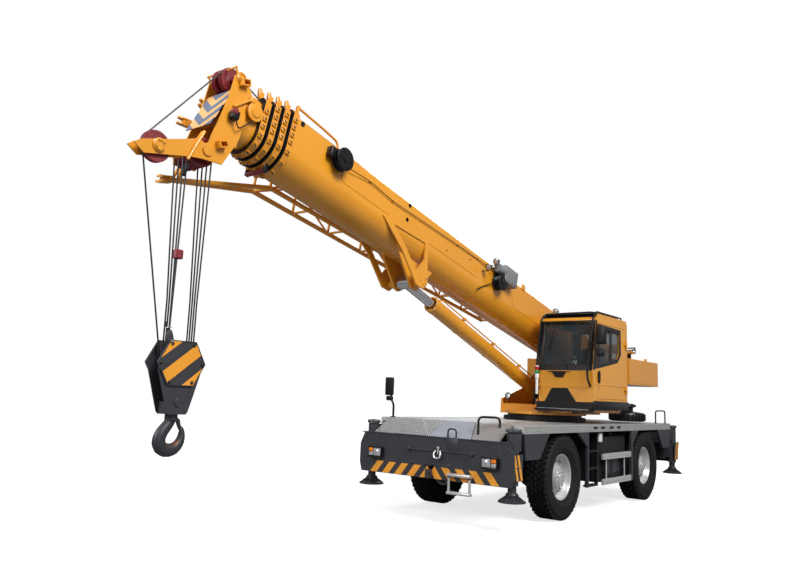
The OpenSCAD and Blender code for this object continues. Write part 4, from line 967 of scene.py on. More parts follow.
shape = bmesh.new()
for y in (0.31, 1.22):
    add_part(shape, bent_tube([(-0.67, y, 3.35), (-0.67, y, 3.397), (0.49, y, 3.397), (0.49, y, 3.35)], 0.014,
                              0.04))
for n in range(9):
    x = -0.62 + n * 0.13
    add_part(shape, block((x - 0.03, 0.31, 3.39), (x + 0.03, 1.22, 3.402), 0.003))
add_part(shape, bent_tube([(0.742, 0.245, 2.09), (0.815, 0.235, 2.34), (0.7, 0.27, 3.26), (0.6, 0.29, 3.365),
                           (0.6, 1.24, 3.375), (0.715, 1.262, 3.26), (0.838, 1.225, 2.62), (0.865, 1.215, 2.36),
                           (0.865, 1.215, 2.2), (0.748, 1.225, 2.08)], 0.018, 0.09, 14, 6))
add_part(shape, block((0.565, 0.3, 3.34), (0.625, 1.235, 3.366), 0.006))
add_part(shape, bent_tube([(0.835, 1.226, 2.83), (0.86, 1.3, 2.83), (0.8, 1.42, 2.84), (0.78, 1.42, 2.92)],
                          0.012, 0.05))
add_part(shape, bent_tube([(0.835, 1.226, 2.74), (0.87, 1.36, 2.72), (0.85, 1.44, 2.68)], 0.01, 0.05))
add_part(shape, block((0.736, 1.335, 2.8), (0.796, 1.509, 3.11), 0.024, 4))
add_part(shape, block((0.731, 1.35, 2.82), (0.738, 1.496, 3.09), 0.002), tint=1)
add_part(shape, block((0.8, 1.37, 2.585), (0.87, 1.505, 2.715), 0.026, 4))
add_part(shape, block((0.794, 1.385, 2.6), (0.802, 1.49, 2.7), 0.002), tint=1)
add_part(shape, bent_tube([(0.0, 0.31, 3.4), (0.0, 0.23, 3.4), (0.0, 0.23, 3.44)], 0.009, 0.03))
work_lamp(shape, moved(0.01, 0.225, 3.488) @ about("Y", math.radians(95)), 2)
guard = fit_piece("roof_guard_and_mirrors", shape, "turret", "black_paint", black, mirror_glass, clear_lens)
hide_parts("cab_guard")

# Operator's place: a sprung seat in black cloth, side consoles with levers, steering wheel and pedals.
# The cushions are foam under cloth, crowned and sewn in channels; the consoles are grained plastic.
trim_plastic = finish("grained_plastic", (0.022, 0.022, 0.024), 0.55, mottle=0.08, patch=9, grain=240,
                      relief=0.25)
seat_cloth = finish("seat_cloth", (0.05, 0.054, 0.062), 0.9, mottle=0.22, patch=60, grain=420, relief=0.5,
                    gloss_shift=0.03)
seat = moved(0, 0.765, 1.735)


def cushion(size, crown, channels, place):
    part = bmesh.new()
    bmesh.ops.create_cube(part, size=2)
    bmesh.ops.subdivide_edges(part, edges=part.edges[:], cuts=15, use_grid_fill=True)
    for vert in part.verts:
        u, v, w = vert.co
        pull = 1 - 0.05 * (u * u + v * v) / 2
        round_off = 1 - 0.1 * (abs(u) ** 6 + abs(v) ** 6) * (w * w)
        lift = 1 + crown * (1 - u * u) * (1 - v * v) if w > 0 else 1
        seam = sum(0.16 * math.exp(-((u - at) / 0.055) ** 2) for at in channels) if w > 0.2 else 0
        waist = 1 - 0.03 * (1 - abs(w))
        vert.co = (u * size[0] * pull * waist * (1 - 0.06 * abs(v) ** 4),
                   v * size[1] * pull * waist * (1 - 0.06 * abs(u) ** 4),
                   w * size[2] * (lift - seam) * round_off)
    whole = bmesh.new()
    add_part(whole, part, place)
    return whole


pads = (("seat_cushion", (0.262, 0.25, 0.062), 0.22, (-0.35, 0.25), seat @ moved(-0.255, 0, 0.365)),
        ("seat_back", (0.335, 0.228, 0.05), 0.26, (-0.45, 0.05, 0.5),
         seat @ moved(-0.5, 0, 0.775) @ about("Y", math.radians(-82.0)) @ scaled(1, 1, -1)))
for name, size, crown, channels, place in pads:
    pad = fit_piece(name, cushion(size, crown, channels, place), "turret", "cab_trim", seat_cloth, crease=70)

shape = bmesh.new()
add_part(shape, block((-0.49, -0.19, 0), (-0.04, 0.19, 0.05), 0.012))
for n in range(6):
    z = 0.055 + n * 0.036
    add_part(shape, block((-0.47, -0.18, z), (-0.06, 0.18, z + 0.028), 0.012, 3))
add_part(shape, block((-0.5, -0.2, 0.27), (-0.03, 0.2, 0.302), 0.01))
for side in (-1, 1):
    arm = scaled(1, side, 1) @ moved(0, 0.305, 0)
    add_part(shape, block((-0.4, -0.055, 0.3), (0.0, 0.055, 0.615), 0.03, 4), arm)
    add_part(shape, block((-0.39, -0.1, 0), (-0.13, 0.05, 0.301), 0.02, 3), arm)
    add_part(shape, bent_tube([(-0.06, 0, 0.6), (-0.05, 0, 0.69)], 0.01), arm)
    knob = [(0.0, 0.0), (0.02, 0.0), (0.026, 0.03), (0.022, 0.075), (0.0, 0.085)]
    add_part(shape, turned(knob, 20), arm @ moved(-0.05, 0, 0.68))
add_part(shape, block((0.46, -0.088, 0), (0.65, 0.088, 0.1), 0.02, 3))
add_part(shape, bent_tube([(0.6, 0, 0.06), (0.465, 0, 0.74)], 0.034, 0.05, 20))
hub = moved(0.457, 0, 0.775) @ about("Y", math.radians(-11))
ring = [(0.19 + 0.016 * math.cos(n * math.pi / 8), 0.016 * math.sin(n * math.pi / 8)) for n in range(17)]
add_part(shape, turned(ring, 48), hub)
for n in range(3):
    add_part(shape, block((0.02, -0.016, -0.008), (0.185, 0.016, 0.006), 0.005),
             hub @ about("Z", n * 2 * math.pi / 3))
add_part(shape, turned([(0.0, 0.016), (0.034, 0.012), (0.044, 0.0), (0.04, -0.03), (0.0, -0.03)], 28), hub)
for y in (-0.12, 0.13):
    add_part(shape, block((0.35, y - 0.035, 0.04), (0.43, y + 0.035, 0.055), 0.005))
place = fit_piece("operator_consoles", shape, "turret", "cab_trim", trim_plastic, place=seat)
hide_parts("cab_interior")

# Boom base: a welded box with a round underside, stiffened by doubler plates, in orange-yellow gloss paint.
# Cable reels, a motor box, lamps, clips and a rope guide are bolted along it; the drain holes are black discs,
# painted shade.
boom_place = moved(FOOT_X, BOOM_Y, FOOT_Z) @ about("Y", math.radians(-12.5))
BOOM_R, BOOM_MID, BOOM_TOP, BOOM_LEN, LEAD, STEP = 0.31, 0.2, 0.675, 8.78, 0.13, 0.022
motor_grey = finish("motor_grey", (0.2, 0.205, 0.21), 0.42, mottle=0.08, patch=7)


def boom_outline(radius, top, turn=20):
    arc = [(-radius * math.cos(n * math.pi / turn),
            BOOM_MID - radius * math.sin(n * math.pi / turn)) for n in range(turn + 1)]
    return arc + [(radius, top - 0.05), (radius - 0.05, top), (0.05 - radius, top), (-radius, top - 0.05)]


def boom_band(x0, x1, radius, top, thick):
    part = bmesh.new()
    loops = []
    for points in (boom_outline(radius, top), boom_outline(radius - thick, top - thick)):
        loop = [part.verts.new((x0, y, z)) for y, z in points]
        loops += [part.edges.new((loop[n - 1], loop[n])) for n in range(len(loop))]
    bmesh.ops.bridge_loops(part, edges=loops)
    thicken(part, (x1 - x0, 0, 0))
    return part


shape = bmesh.new()
for side in (-1, 1):
    mirrored = scaled(1, side, 1)
    flank = mirrored @ facing_left(BOOM_R)
    add_part(shape, cut_plate([(4.34, 0.25), (7.71, 0.248), (7.78, 0.302), (7.78, 0.6), (4.34, 0.6)], 0.006,
                              0.002), flank)
    add_part(shape, cut_plate([(-0.18, 0.18), (3.02, 0.18), (3.1, 0.26), (3.1, 0.61), (-0.18, 0.61)], 0.006,
                              0.002), flank)
    # Black discs in the drain holes: painted shade.
    for x, z in ((6.327, 0.59), (6.333, 0.363), (3.082, 0.565), (8.6, 0.6), (1.2, 0.52)):
        add_part(shape, turned([(0.0, 0.002), (0.02, 0.002), (0.021, 0.007), (0.03, 0.008), (0.032, 0.0)], 20),
                 flank @ moved(x, z, 0.004), 1)
    for x, z in ((5.271, 0.35), (5.018, 0.526), (4.6, 0.47), (6.72, 0.46), (7.25, 0.5)):
        add_part(shape, block((x - 0.025, BOOM_R, z - 0.018), (x + 0.025, BOOM_R + 0.02, z + 0.018), 0.005),
                 mirrored)
    add_part(shape, cut_plate([(2.72, 0.6), (2.87, 0.6), (2.84, 0.7), (2.75, 0.7)], 0.02, 0.004), flank)
lining = []
for radius, sweep in ((BOOM_R + 0.006, range(-27, 28, 3)), (BOOM_R - 0.001, range(27, -28, -3))):
    angles = [math.radians(a) for a in sweep]
    lining += [(math.sin(a) * radius, BOOM_MID - math.cos(a) * radius) for a in angles]
add_part(shape, cut_plate(lining, 4.36), facing_front(-0.15))
add_part(shape, bent_tube([(8.68, 0.25, 0.8), (8.2, 0.25, 0.775), (7.93, 0.25, 0.75), (7.88, 0.25, 0.66)],
                          0.016, 0.06))
add_part(shape, block((8.665, 0.225, 0.69), (8.695, 0.275, 0.82), 0.004))
for x in (0.6, 2.3, 4.0, 5.7, 7.4):
    for y in (-0.1, 0.075):
        add_part(shape, block((x - 0.03, y, BOOM_TOP), (x + 0.03, y + 0.025, BOOM_TOP + 0.075), 0.004))
    roller = moved(x, 0.085, BOOM_TOP + 0.045) @ about("X", math.pi / 2)
    add_part(shape, turned(oblong(0.0, 0.022, 0.0, 0.17), 20), roller, 2)
fit_piece("boom_plates", shape, "boom", "crane_yellow", yellow, black, bare_steel, place=boom_place)

shape = bmesh.new()
add_part(shape, bent_tube([(-0.1, 0.0, BOOM_TOP + 0.078), (8.66, 0.0, BOOM_TOP + 0.078)], 0.009, sides=8))
fit_piece("boom_top_rope", shape, "boom", "dark_steel", rope_wire, place=boom_place)

reel_rim = [(0.0, 0.0), (0.05, 0.0), (0.06, 0.008), (0.145, 0.01), (0.152, 0.016), (0.146, 0.024),
            (0.118, 0.03)]
for n in range(5):
    middle = 0.037 + n * 0.014
    reel_rim += [(0.118, middle - 0.006), (0.125, middle), (0.118, middle + 0.006)]
reel_rim += [(0.118, 0.106), (0.146, 0.112), (0.152, 0.12), (0.145, 0.126), (0.06, 0.128), (0.05, 0.145),
             (0.0, 0.147)]
shape = bmesh.new()
for x, z in ((7.9, 0.47), (3.728, 0.395)):
    spot = moved(x, BOOM_R + 0.022, z) @ about("X", -math.pi / 2)
    add_part(shape, turned(reel_rim, 40), spot)
    for n in range(6):
        add_part(shape, block((0.05, -0.01, 0.124), (0.14, 0.01, 0.133), 0.003),
                 spot @ about("Z", n * math.pi / 3))
add_part(shape, block((7.8, BOOM_R, 0.4), (8.0, BOOM_R + 0.026, 0.56), 0.004), tint=2)
add_part(shape, block((8.0, BOOM_R, 0.42), (8.13, BOOM_R + 0.1, 0.56), 0.016, 3))
add_part(shape, block((3.27, BOOM_R, 0.43), (3.7, BOOM_R + 0.16, 0.72), 0.022, 3), tint=1)
for n in range(6):
    add_part(shape, block((3.3 + n * 0.062, BOOM_R + 0.155, 0.46), (3.33 + n * 0.062, BOOM_R + 0.17, 0.69),
                          0.004), tint=1)
can = moved(3.66, BOOM_R + 0.09, 0.6) @ about("Y", math.pi / 2)
add_part(shape, turned([(0.0, 0.0), (0.075, 0.0), (0.08, 0.006), (0.08, 0.2), (0.07, 0.225), (0.04, 0.235),
                        (0.0, 0.236)], 32), can, 1)
for x, z in ((4.193, 0.476), (3.98, 0.66)):
    stand = moved(x, BOOM_R, z)
    add_part(shape, bent_tube([(0, 0, -0.06), (0, 0.13, -0.06), (0, 0.13, -0.02)], 0.008, 0.03, 8), stand)
    work_lamp(shape, stand @ moved(0.01, 0.13, 0) @ about("Y", math.radians(118)), 3)
cable = [(3.85, BOOM_R + 0.06, 0.34), (4.05, BOOM_R + 0.02, 0.22), (4.231, BOOM_R + 0.01, 0.1),
         (4.26, BOOM_R - 0.01, 0.06)]
add_part(shape, bent_tube(cable, 0.009, 0.08, 8))
add_part(shape, bent_tube([(3.9, BOOM_R + 0.09, 0.5), (4.2, BOOM_R + 0.015, 0.545),
                           (5.018, BOOM_R + 0.026, 0.526), (6.72, BOOM_R + 0.026, 0.46),
                           (7.25, BOOM_R + 0.026, 0.5), (7.78, BOOM_R + 0.06, 0.44)], 0.006, 0.12, 8))
fit_piece("boom_reels_and_lamps", shape, "boom", "black_paint", black, motor_grey, yellow, clear_lens,
          place=boom_place)

# Collars: each telescopic section ends in a heavy ring with bolted slide pads; black wear strips show
# between the rings. Pads are set by screws in small blocks welded round the ring.
for n in range(1, 5):
    body = "boom" if n == 1 else f"section_{n}"
    radius, top, front = BOOM_R - STEP * (n - 1), BOOM_TOP - STEP * (n - 1), BOOM_LEN + LEAD * (n - 1)
    shape = bmesh.new()
    add_part(shape, boom_band(front - 0.002, front + 0.016, radius + 0.024, top + 0.024, 0.04), tint=1)
    add_part(shape, boom_band(front - 0.086, front - 0.078, radius + 0.03, top + 0.03, 0.028))
    spots = []
    for a in (-78, -52, -26, 0, 26, 52, 78):
        turn = math.radians(a)
        spots.append(((radius + 0.024) * math.sin(turn), BOOM_MID - (radius + 0.024) * math.cos(turn), -turn))
    for z in (0.26, 0.36, 0.46, 0.56):
        if z < top - 0.06:
            spots += [(radius + 0.024, z, -math.pi / 2), (-radius - 0.024, z, math.pi / 2)]
    for y in (-0.24, -0.08, 0.08, 0.24):
        if abs(y) < radius - 0.06:
            spots.append((y, top + 0.024, math.pi))
    for y, z, turn in spots:
        spot = moved(front - 0.04, y, z) @ about("X", -turn)
        add_part(shape, block((-0.03, -0.026, -0.022), (0.03, 0.026, 0.004), 0.005), spot)
        add_part(shape, nut(0.01, 0.014), spot @ moved(0.0, 0.0, -0.027), 2)
        add_part(shape, nut(0.007, 0.012), spot @ moved(0.019, 0.013, -0.025), 2)
    for y in (-0.55 * radius, 0.55 * radius):
        fin = [(front - 0.08, top), (front + 0.01, top), (front + 0.045, top + 0.085),
               (front + 0.052, top + 0.15), (front + 0.022, top + 0.168), (front - 0.012, top + 0.11)]
        add_part(shape, cut_plate(fin, 0.034, 0.006, 2), facing_left(y - 0.017))
    fit_piece(f"collar_pads_{n}", shape, body, "crane_yellow", yellow, black, dark_steel, place=boom_place)
    if n < 4:
        shape = bmesh.new()
        inner, inner_top = radius - STEP, top - STEP
        add_part(shape, boom_band(front + 0.004, front + 0.05, inner + 0.006, inner_top + 0.006, 0.008))
        fit_piece(f"wear_strip_{n + 1}", shape, f"section_{n + 1}", "black_paint", black, place=boom_place)

# Head: two cut side plates with cross plates, sheave pins, rope guards and a warning plate with chevrons.
# The nose sheave swings on a hinged arm; bosses and sockets are welded on, sensors are bolted.
pale_orange = finish("pale_orange", (0.8, 0.44, 0.17), 0.42, coat=0.2)
blue_grey = finish("blue_grey", (0.13, 0.17, 0.25), 0.42)
red_paint = finish("sheave_red", (0.2, 0.013, 0.018), 0.4, coat=0.15, mottle=0.1, patch=4)
dress(red_paint, "boom_sheaves")
HEAD_SIDE = 0.242
TOP_PIN, MAIN_PIN, NOSE_PIN = (9.565, 0.643), (9.72, -0.375), (10.266, -0.62)
head_face = facing_left(HEAD_SIDE)
shape = bmesh.new()


def boss(pin, radius, high, face):
    place = face @ moved(*pin, 0)
    profile = [(0.0, 0.7), (0.45, 0.7), (0.55, 1.0), (0.8, 1.0), (0.86, 0.5), (1.0, 0.45), (1.0, 0.0)]
    add_part(shape, turned([(radius * r, high * h) for r, h in profile], 28), place)
    for n in range(4):
        turn = math.radians(45 + n * 90)
        spot = place @ moved(radius * 0.67 * math.cos(turn), radius * 0.67 * math.sin(turn), high)
        add_part(shape, nut(radius * 0.09, 0.008), spot, 1)


boss(TOP_PIN, 0.066, 0.03, head_face)
boss(NOSE_PIN, 0.075, 0.034, head_face)
add_part(shape, turned([(0.0, 0.02), (0.06, 0.02), (0.068, 0.012), (0.07, 0.0)], 36),
         head_face @ moved(*MAIN_PIN, 0))
far_face = scaled(1, -1, 1) @ facing_left(HEAD_SIDE)
boss(TOP_PIN, 0.066, 0.03, far_face)
boss(MAIN_PIN, 0.08, 0.026, far_face)
for place in (head_face, far_face):
    for x, z, turn in ((9.59, -0.237, -28), (9.52, 0.6, -20)):
        border(shape, oblong(-0.055, 0.055, -0.04, 0.04), oblong(-0.041, 0.041, -0.026, 0.026), 0.075,
               place @ moved(x, z, 0) @ about("Z", math.radians(turn)))
for y in (-HEAD_SIDE, HEAD_SIDE):
    add_part(shape, bent_tube([(9.6, y, 0.64), (9.672, y, 0.735)], 0.013))
add_part(shape, bent_tube([(9.667, -0.262, 0.722), (9.667, 0.262, 0.722)], 0.011))
add_part(shape, bent_tube([(9.565, 0.262, 0.268), (9.38, 0.272, 0.462)], 0.016))
add_part(shape, block((9.33, 0.225, 0.43), (9.4, 0.3, 0.5), 0.008))
add_part(shape, bent_tube([(9.876, 0.2, -0.418), (9.811, 0.2, -0.2)], 0.02))
add_part(shape, bent_tube([(9.93, 0.262, -0.6), (9.83, 0.262, -0.21)], 0.018))
add_part(shape, turned([(0.0, 0.0), (0.1, 0.0), (0.11, 0.01), (0.11, 0.03), (0.075, 0.036), (0.06, 0.05),
                        (0.0, 0.052)], 32), facing_left(0.262) @ moved(9.29, 0.353, 0))
add_part(shape, block((9.2, 0.235, 0.3), (9.36, 0.27, 0.4), 0.006))
fit_piece("head_fittings", shape, "section_5", "crane_yellow", yellow, dark_steel, place=boom_place)

shape = bmesh.new()
plate_low, plate_high = Vector((9.755, 0, -0.06)), Vector((9.6, 0, 0.47))
sign = on_plane(plate_low, (0, 1, 0), plate_high - plate_low)
LONG = (plate_high - plate_low).length
HALF = 0.218
add_part(shape, cut_plate(oblong(-HALF, HALF, 0, LONG), 0.008), sign)


def chevron_band(outline, way, low, high, thick):
    part = bmesh.new()
    part.faces.new([part.verts.new((a, b, 0)) for a, b in outline])
    way = Vector((*way, 0)).normalized()
    for at, outer, inner in ((low, False, True), (high, True, False)):
        bmesh.ops.bisect_plane(part, geom=part.verts[:] + part.edges[:] + part.faces[:], plane_co=way * at,
                               plane_no=way, clear_outer=outer, clear_inner=inner)
    thicken(part, (0, 0, thick))
    return part


for side in (-1, 1):
    half = oblong(0, side * HALF, 0, LONG)
    for n in range(-2, 4):
        band = chevron_band(half, (-side * 0.8, 1.0), 0.16 * n + 0.02, 0.16 * n + 0.1, 0.01)
        if band.faces:
            add_part(shape, band, sign, 1)
        else:
            band.free()
fit_piece("head_warning_plate", shape, "section_5", "crane_yellow", pale_orange, blue_grey, place=boom_place)

shape = bmesh.new()
add_part(shape, block((9.5, 0.244, 0.1), (9.6, 0.335, 0.21), 0.02, 3))
add_part(shape, turned([(0.0, 0.05), (0.03, 0.048), (0.036, 0.04), (0.036, 0.0)], 24),
         facing_left(0.3) @ moved(9.575, 0.185, 0), 1)
add_part(shape, bent_tube([(9.52, 0.3, 0.11), (9.47, 0.31, 0.02), (9.4, 0.29, 0.1), (9.3, 0.285, 0.22)], 0.008,
                          0.06, 8))
add_part(shape, block((9.847, 0.145, -0.745), (9.892, 0.19, -0.6), 0.01, 3))
add_part(shape, bent_tube([(9.868, 0.168, -0.61), (9.872, 0.185, -0.52), (9.876, 0.2, -0.43)], 0.008, 0.05, 8))
add_part(shape, bent_tube([(8.86, -0.15, -0.15), (8.86, 0.15, -0.15)], 0.03, sides=20), tint=1)
for y in (-0.16, 0.16):
    add_part(shape, block((8.83, y - 0.01, -0.175), (8.89, y + 0.01, -0.06), 0.005))
fit_piece("head_sensors", shape, "section_5", "black_paint", black, red_paint, place=boom_place)

# Sheaves: cast wheels in deep red with a dished web, a hub ring and a raised rim; the rope lies in their grooves.
# Rope comes off the boom's back over the top sheave to the nose sheave, and goes on down to the block.
NOSE_Y = 0.171
shape = bmesh.new()
for (x, z), ys, rad in ((MAIN_PIN, (-0.12, -0.04, 0.04, 0.12), 0.165), (TOP_PIN, (-0.06, 0.06), 0.155),
                        (NOSE_PIN, (NOSE_Y,), 0.165)):
    rim = [(rad - 0.03, 0.0), (rad - 0.026, 0.004), (rad - 0.006, 0.004), (rad - 0.001, -0.001)]
    for y in ys:
        for side in (-1, 1):
            web = moved(x, y + side * 0.025, z) @ about("X", -side * math.pi / 2)
            add_part(shape, turned([(0.045, 0.007), (0.06, 0.007), (0.066, 0.001), (0.07, 0.0)], 36), web)
            add_part(shape, turned(rim, 36), web)
fit_piece("sheave_rings", shape, "section_5", "sheave_red", red_paint, place=boom_place)


def on_arc(pin, y, radius, degrees):
    turn = math.radians(degrees)
    return pin[0] + radius * math.cos(turn), y, pin[1] + radius * math.sin(turn)


shape = bmesh.new()
over = [on_arc(TOP_PIN, 0.06, 0.147, 118 - n * 10) for n in range(9)]
over += [on_arc(NOSE_PIN, NOSE_Y, 0.155, 38 - n * 6) for n in range(9)]
add_part(shape, bent_tube(over, 0.009, 0.02, 8, 2))
add_part(shape, bent_tube([over[0], (9.12, 0.02, 0.712)], 0.009, sides=8))
fit_piece("head_rope", shape, "section_5", "dark_steel", rope_wire, place=boom_place)

# Hoist rope: one laid steel wire reeved between the head's sheaves and the hook block, then up to the
# nose sheave. Its dead end hangs in the block's wedge socket, and a red switch weight rides on it.
HANG_X, HANG_Y, BLOCK_Z = 8.01376, BOOM_Y, 2.04
HANG_Z, LIFT_MAX, ROPE_R, SEAT_R = 4.31168, 1.5, 0.009, 0.1475
FALL_END, SOCKET_TOP = BLOCK_Z + 0.04, 2.35


def shortened(rope):
    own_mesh(rope)


PLUMB = 0.2 / (1 - LIFT_MAX / (HANG_Z - FALL_END))
shape = bmesh.new()
reeving = [(-1, -0.12, -0.06), (-1, -0.04, -0.02), (-1, 0.04, 0.02), (-1, 0.12, 0.06), (1, -0.12, -0.02),
           (1, -0.04, 0.02), (1, 0.04, 0.06)]
for side, above, below in reeving:
    x, y = HANG_X + side * 0.158, HANG_Y + below
    add_part(shape, bent_tube([(HANG_X + side * 0.155, HANG_Y + above, HANG_Z), (x, y, FALL_END + PLUMB),
                               (x, y, FALL_END)], ROPE_R, sides=10))
weight = moved(HANG_X + 0.156, HANG_Y + 0.102, 3.115)
add_part(shape, turned([(0.0, 0.0), (0.044, 0.0), (0.052, 0.008), (0.052, 0.085), (0.044, 0.093), (0.0, 0.093)],
                       24), weight, 1)
falls = fit_piece("hoist_ropes", shape, "falls", "dark_steel", rope_wire, red_paint)
shortened(falls)
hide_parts("hoist_falls")

shape = bmesh.new()
add_part(shape, bent_tube([(HANG_X + 0.155, HANG_Y + 0.12, HANG_Z),
                           (HANG_X + 0.178, HANG_Y + 0.094, SOCKET_TOP)], ROPE_R, sides=10))
shortened(fit_piece("dead_end_rope", shape, "falls", "dark_steel", rope_wire))

nose = boom_place @ Vector((NOSE_PIN[0], NOSE_Y, NOSE_PIN[1]))
end = Vector((HANG_X + 0.158, HANG_Y - 0.06, FALL_END))
drop = Vector((end.x - nose.x, end.z - nose.z))
leave = math.atan2(drop.y, drop.x) + math.acos(SEAT_R / drop.length)
start = nose + SEAT_R * Vector((math.cos(leave), 0, math.sin(leave)))
turn_at = start.lerp(end, 0.17)
shape = bmesh.new()
add_part(shape, bent_tube([start.lerp(turn_at, n / 20) for n in range(21)], ROPE_R, sides=10, arc=1))
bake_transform(fit_piece("nose_rope_lead", shape, None, "dark_steel", rope_wire))
shape = bmesh.new()
add_part(shape, bent_tube([turn_at, end], ROPE_R, sides=10))
shortened(fit_piece("nose_rope", shape, "falls", "dark_steel", rope_wire))

# Jib: a lattice of steel tube carried along the boom's right side, with clevis ends that pin to the head.
# Each clevis is two cut lugs on a round stub, drilled for the pin.
jib_place = boom_place @ moved(8.3, 0, -0.01) @ about("Y", math.radians(1.94))
shape = bmesh.new()
for start, stop in (((0, -0.382, 0), (1.48, -0.382, -0.58)), ((0, -0.712, 0), (1.31, -0.712, -0.44)),
                    ((0, -0.382, 0.38), (1.44, -0.382, 0.17)), ((0, -0.712, 0.38), (1.13, -0.552, 0.605))):
    start, stop = Vector(start), Vector(stop)
    way = stop - start
    tip = on_plane(stop, way, (0, 0, 1))
    for level in (-0.045, 0.023):
        lug = cut_plate([(-0.1, -0.034), (0.02, -0.038), (0.055, -0.028), (0.07, 0.0), (0.055, 0.028),
                         (0.02, 0.038), (-0.1, 0.034)], 0.022, 0.003)
        add_part(shape, lug, tip @ moved(0, level, 0) @ about("X", -math.pi / 2))
        add_part(shape, turned([(0.0, 0.001), (0.017, 0.001), (0.018, 0.004), (0.026, 0.004), (0.028, 0.0)],
                               20), tip @ moved(0.025, level + 0.022, 0) @ about("X", -math.pi / 2), 1)
    add_part(shape, block((-0.12, -0.038, -0.036), (-0.06, 0.038, 0.036), 0.008), tip)
add_part(shape, bent_tube([(1.3, -0.382, -0.51), (1.26, -0.382, 0.19)], 0.02))
add_part(shape, bent_tube([(1.18, -0.7, -0.4), (1.02, -0.57, 0.58)], 0.018))
fit_piece("jib_clevises", shape, "boom", "crane_yellow", yellow, black, place=jib_place)

# Lift cylinder: a painted barrel with a bolted gland and clamped oil pipes, and a hard-chromed rod.
# Hoses join the pipes at its foot; the rod's eye turns on the boom's bracket pin.
dress(chrome, "lift_rod")
lift_place = moved(-0.717, BOOM_Y, 1.8) @ about("Y", -math.atan2(1.6606, 4.8223))
BARREL_END = 4.384
shape = bmesh.new()
gland = moved(BARREL_END, 0, 0) @ about("Y", math.pi / 2)
add_part(shape, turned([(0.096, 0.01), (0.112, 0.01), (0.118, 0.004), (0.1285, 0.0), (0.1295, -0.05),
                        (0.123, -0.058)], 40), gland)
bolt_ring(shape, gland, 10, 0.11, 0.012, (0.009, 0.012))
for x in (0.55, 1.55, 2.55, 3.55):
    add_part(shape, turned(oblong(0.121, 0.128, -0.022, 0.022), 40), moved(x, 0, 0) @ about("Y", math.pi / 2))
    add_part(shape, block((x - 0.025, 0.06, 0.105), (x + 0.025, 0.115, 0.15), 0.006))
add_part(shape, bent_tube([(0.3, 0.088, 0.135), (4.22, 0.088, 0.135), (4.3, 0.088, 0.105)], 0.011, 0.04, 10))
add_part(shape, bent_tube([(0.3, 0.064, 0.148), (0.7, 0.064, 0.148)], 0.011, 0.04, 10))
fit_piece("lift_barrel_fittings", shape, "lift_barrel", "crane_yellow", yellow, bare_steel, place=lift_place)
shape = bmesh.new()
add_part(shape, block((0.2, 0.02, 0.11), (0.36, 0.13, 0.2), 0.012, 3))
add_part(shape, bent_tube([(0.24, 0.04, 0.19), (0.16, 0.06, 0.26), (0.02, 0.1, 0.2), (-0.1, 0.12, 0.05)], 0.013,
                          0.08, 10))
add_part(shape, bent_tube([(0.3, 0.09, 0.19), (0.2, 0.11, 0.29), (0.03, 0.13, 0.23), (-0.08, 0.145, 0.05)],
                          0.013, 0.08, 10))
fit_piece("lift_hoses", shape, "lift_barrel", "black_paint", black, place=lift_place)
shape = bmesh.new()
for side in (-1, 1):
    cover = scaled(1, side, 1) @ facing_left(0.32) @ moved(5.72, -0.36, 0)
    add_part(shape, turned([(0.0, 0.012), (0.05, 0.012), (0.06, 0.006), (0.085, 0.006), (0.088, 0.0)], 32),
             cover)
    bolt_ring(shape, cover, 3, 0.07, 0.01, (0.011, 0.012))
fit_piece("lift_pin_covers", shape, "boom", "crane_yellow", yellow, bare_steel, place=boom_place)

# Hook block: six-sided plates over four sheaves, tapered cheeks and a cross head, in dark grey with
# warning bars. Bolts clamp the plates at their corners; the rope's end sits in a wedge socket on top.
block_grey = finish("block_grey", (0.036, 0.037, 0.043), 0.46, shine=0.4, mottle=0.1, patch=5)
dress(block_grey, "hook_block")
hexagon = [(-0.158, 0.232), (0.158, 0.232), (0.292, 0.0), (0.158, -0.232), (-0.158, -0.232), (-0.292, 0.0)]
inset = [(x * 0.972, z * 0.972) for x, z in hexagon]
shape = bmesh.new()
for side in (-1, 1):
    cheek = moved(HANG_X, HANG_Y, BLOCK_Z) @ scaled(1, side, 1) @ facing_left(0.112)
    for middle in (-0.25, 0.0, 0.25):
        for tint, half, thick in ((2, 0.071, 0.0018), (1, 0.063, 0.0032)):
            add_part(shape, chevron_band(inset, (0.603, 0.797), middle - half, middle + half, thick), cheek,
                     tint)
    for x, z in hexagon:
        add_part(shape, turned([(0.0, 0.022), (0.012, 0.02), (0.017, 0.012), (0.018, 0.0)], 16),
                 cheek @ moved(x * 0.86, z * 0.84, 0), 3)
    add_part(shape, turned([(0.0, 0.006), (0.038, 0.006), (0.042, 0.003), (0.046, 0.004), (0.05, 0.0)], 32),
             moved(HANG_X, HANG_Y, 1.64) @ scaled(1, side, 1) @ facing_left(0.103))
    border(shape, hexagon, [(x * 0.965, z * 0.965) for x, z in hexagon], 0.006, cheek)
fit_piece("block_plates", shape, "block", "dark_steel", block_grey, signal, navy, dark_steel)
shape = bmesh.new()
socket = moved(HANG_X + 0.15, HANG_Y + 0.094, 2.236) @ about("Y", math.radians(12)) @ Matrix.Scale(0.86, 4)
wedge = cut_plate([(-0.045, 0.0), (0.04, 0.0), (0.062, 0.06), (0.045, 0.13), (0.018, 0.16), (-0.022, 0.16),
                   (-0.04, 0.1)], 0.044, 0.01, 3)
add_part(shape, wedge, facing_left(-0.022))
add_part(shape, turned(oblong(0.0, 0.018, 0.0, 0.075), 16), moved(0, 0.037, 0.028) @ about("X", math.pi / 2), 1)
add_part(shape, bent_tube([(0.0, 0, 0.15), (0.036, 0.01, 0.18), (0.052, 0.016, 0.265)], 0.01, 0.03, 8), tint=2)
add_part(shape, block((0.008, -0.014, 0.182), (0.058, 0.03, 0.198), 0.006), tint=1)
add_part(shape, bent_tube([(-0.04, 0.01, 0.189), (0.012, 0.01, 0.19)], 0.007, sides=8), tint=1)
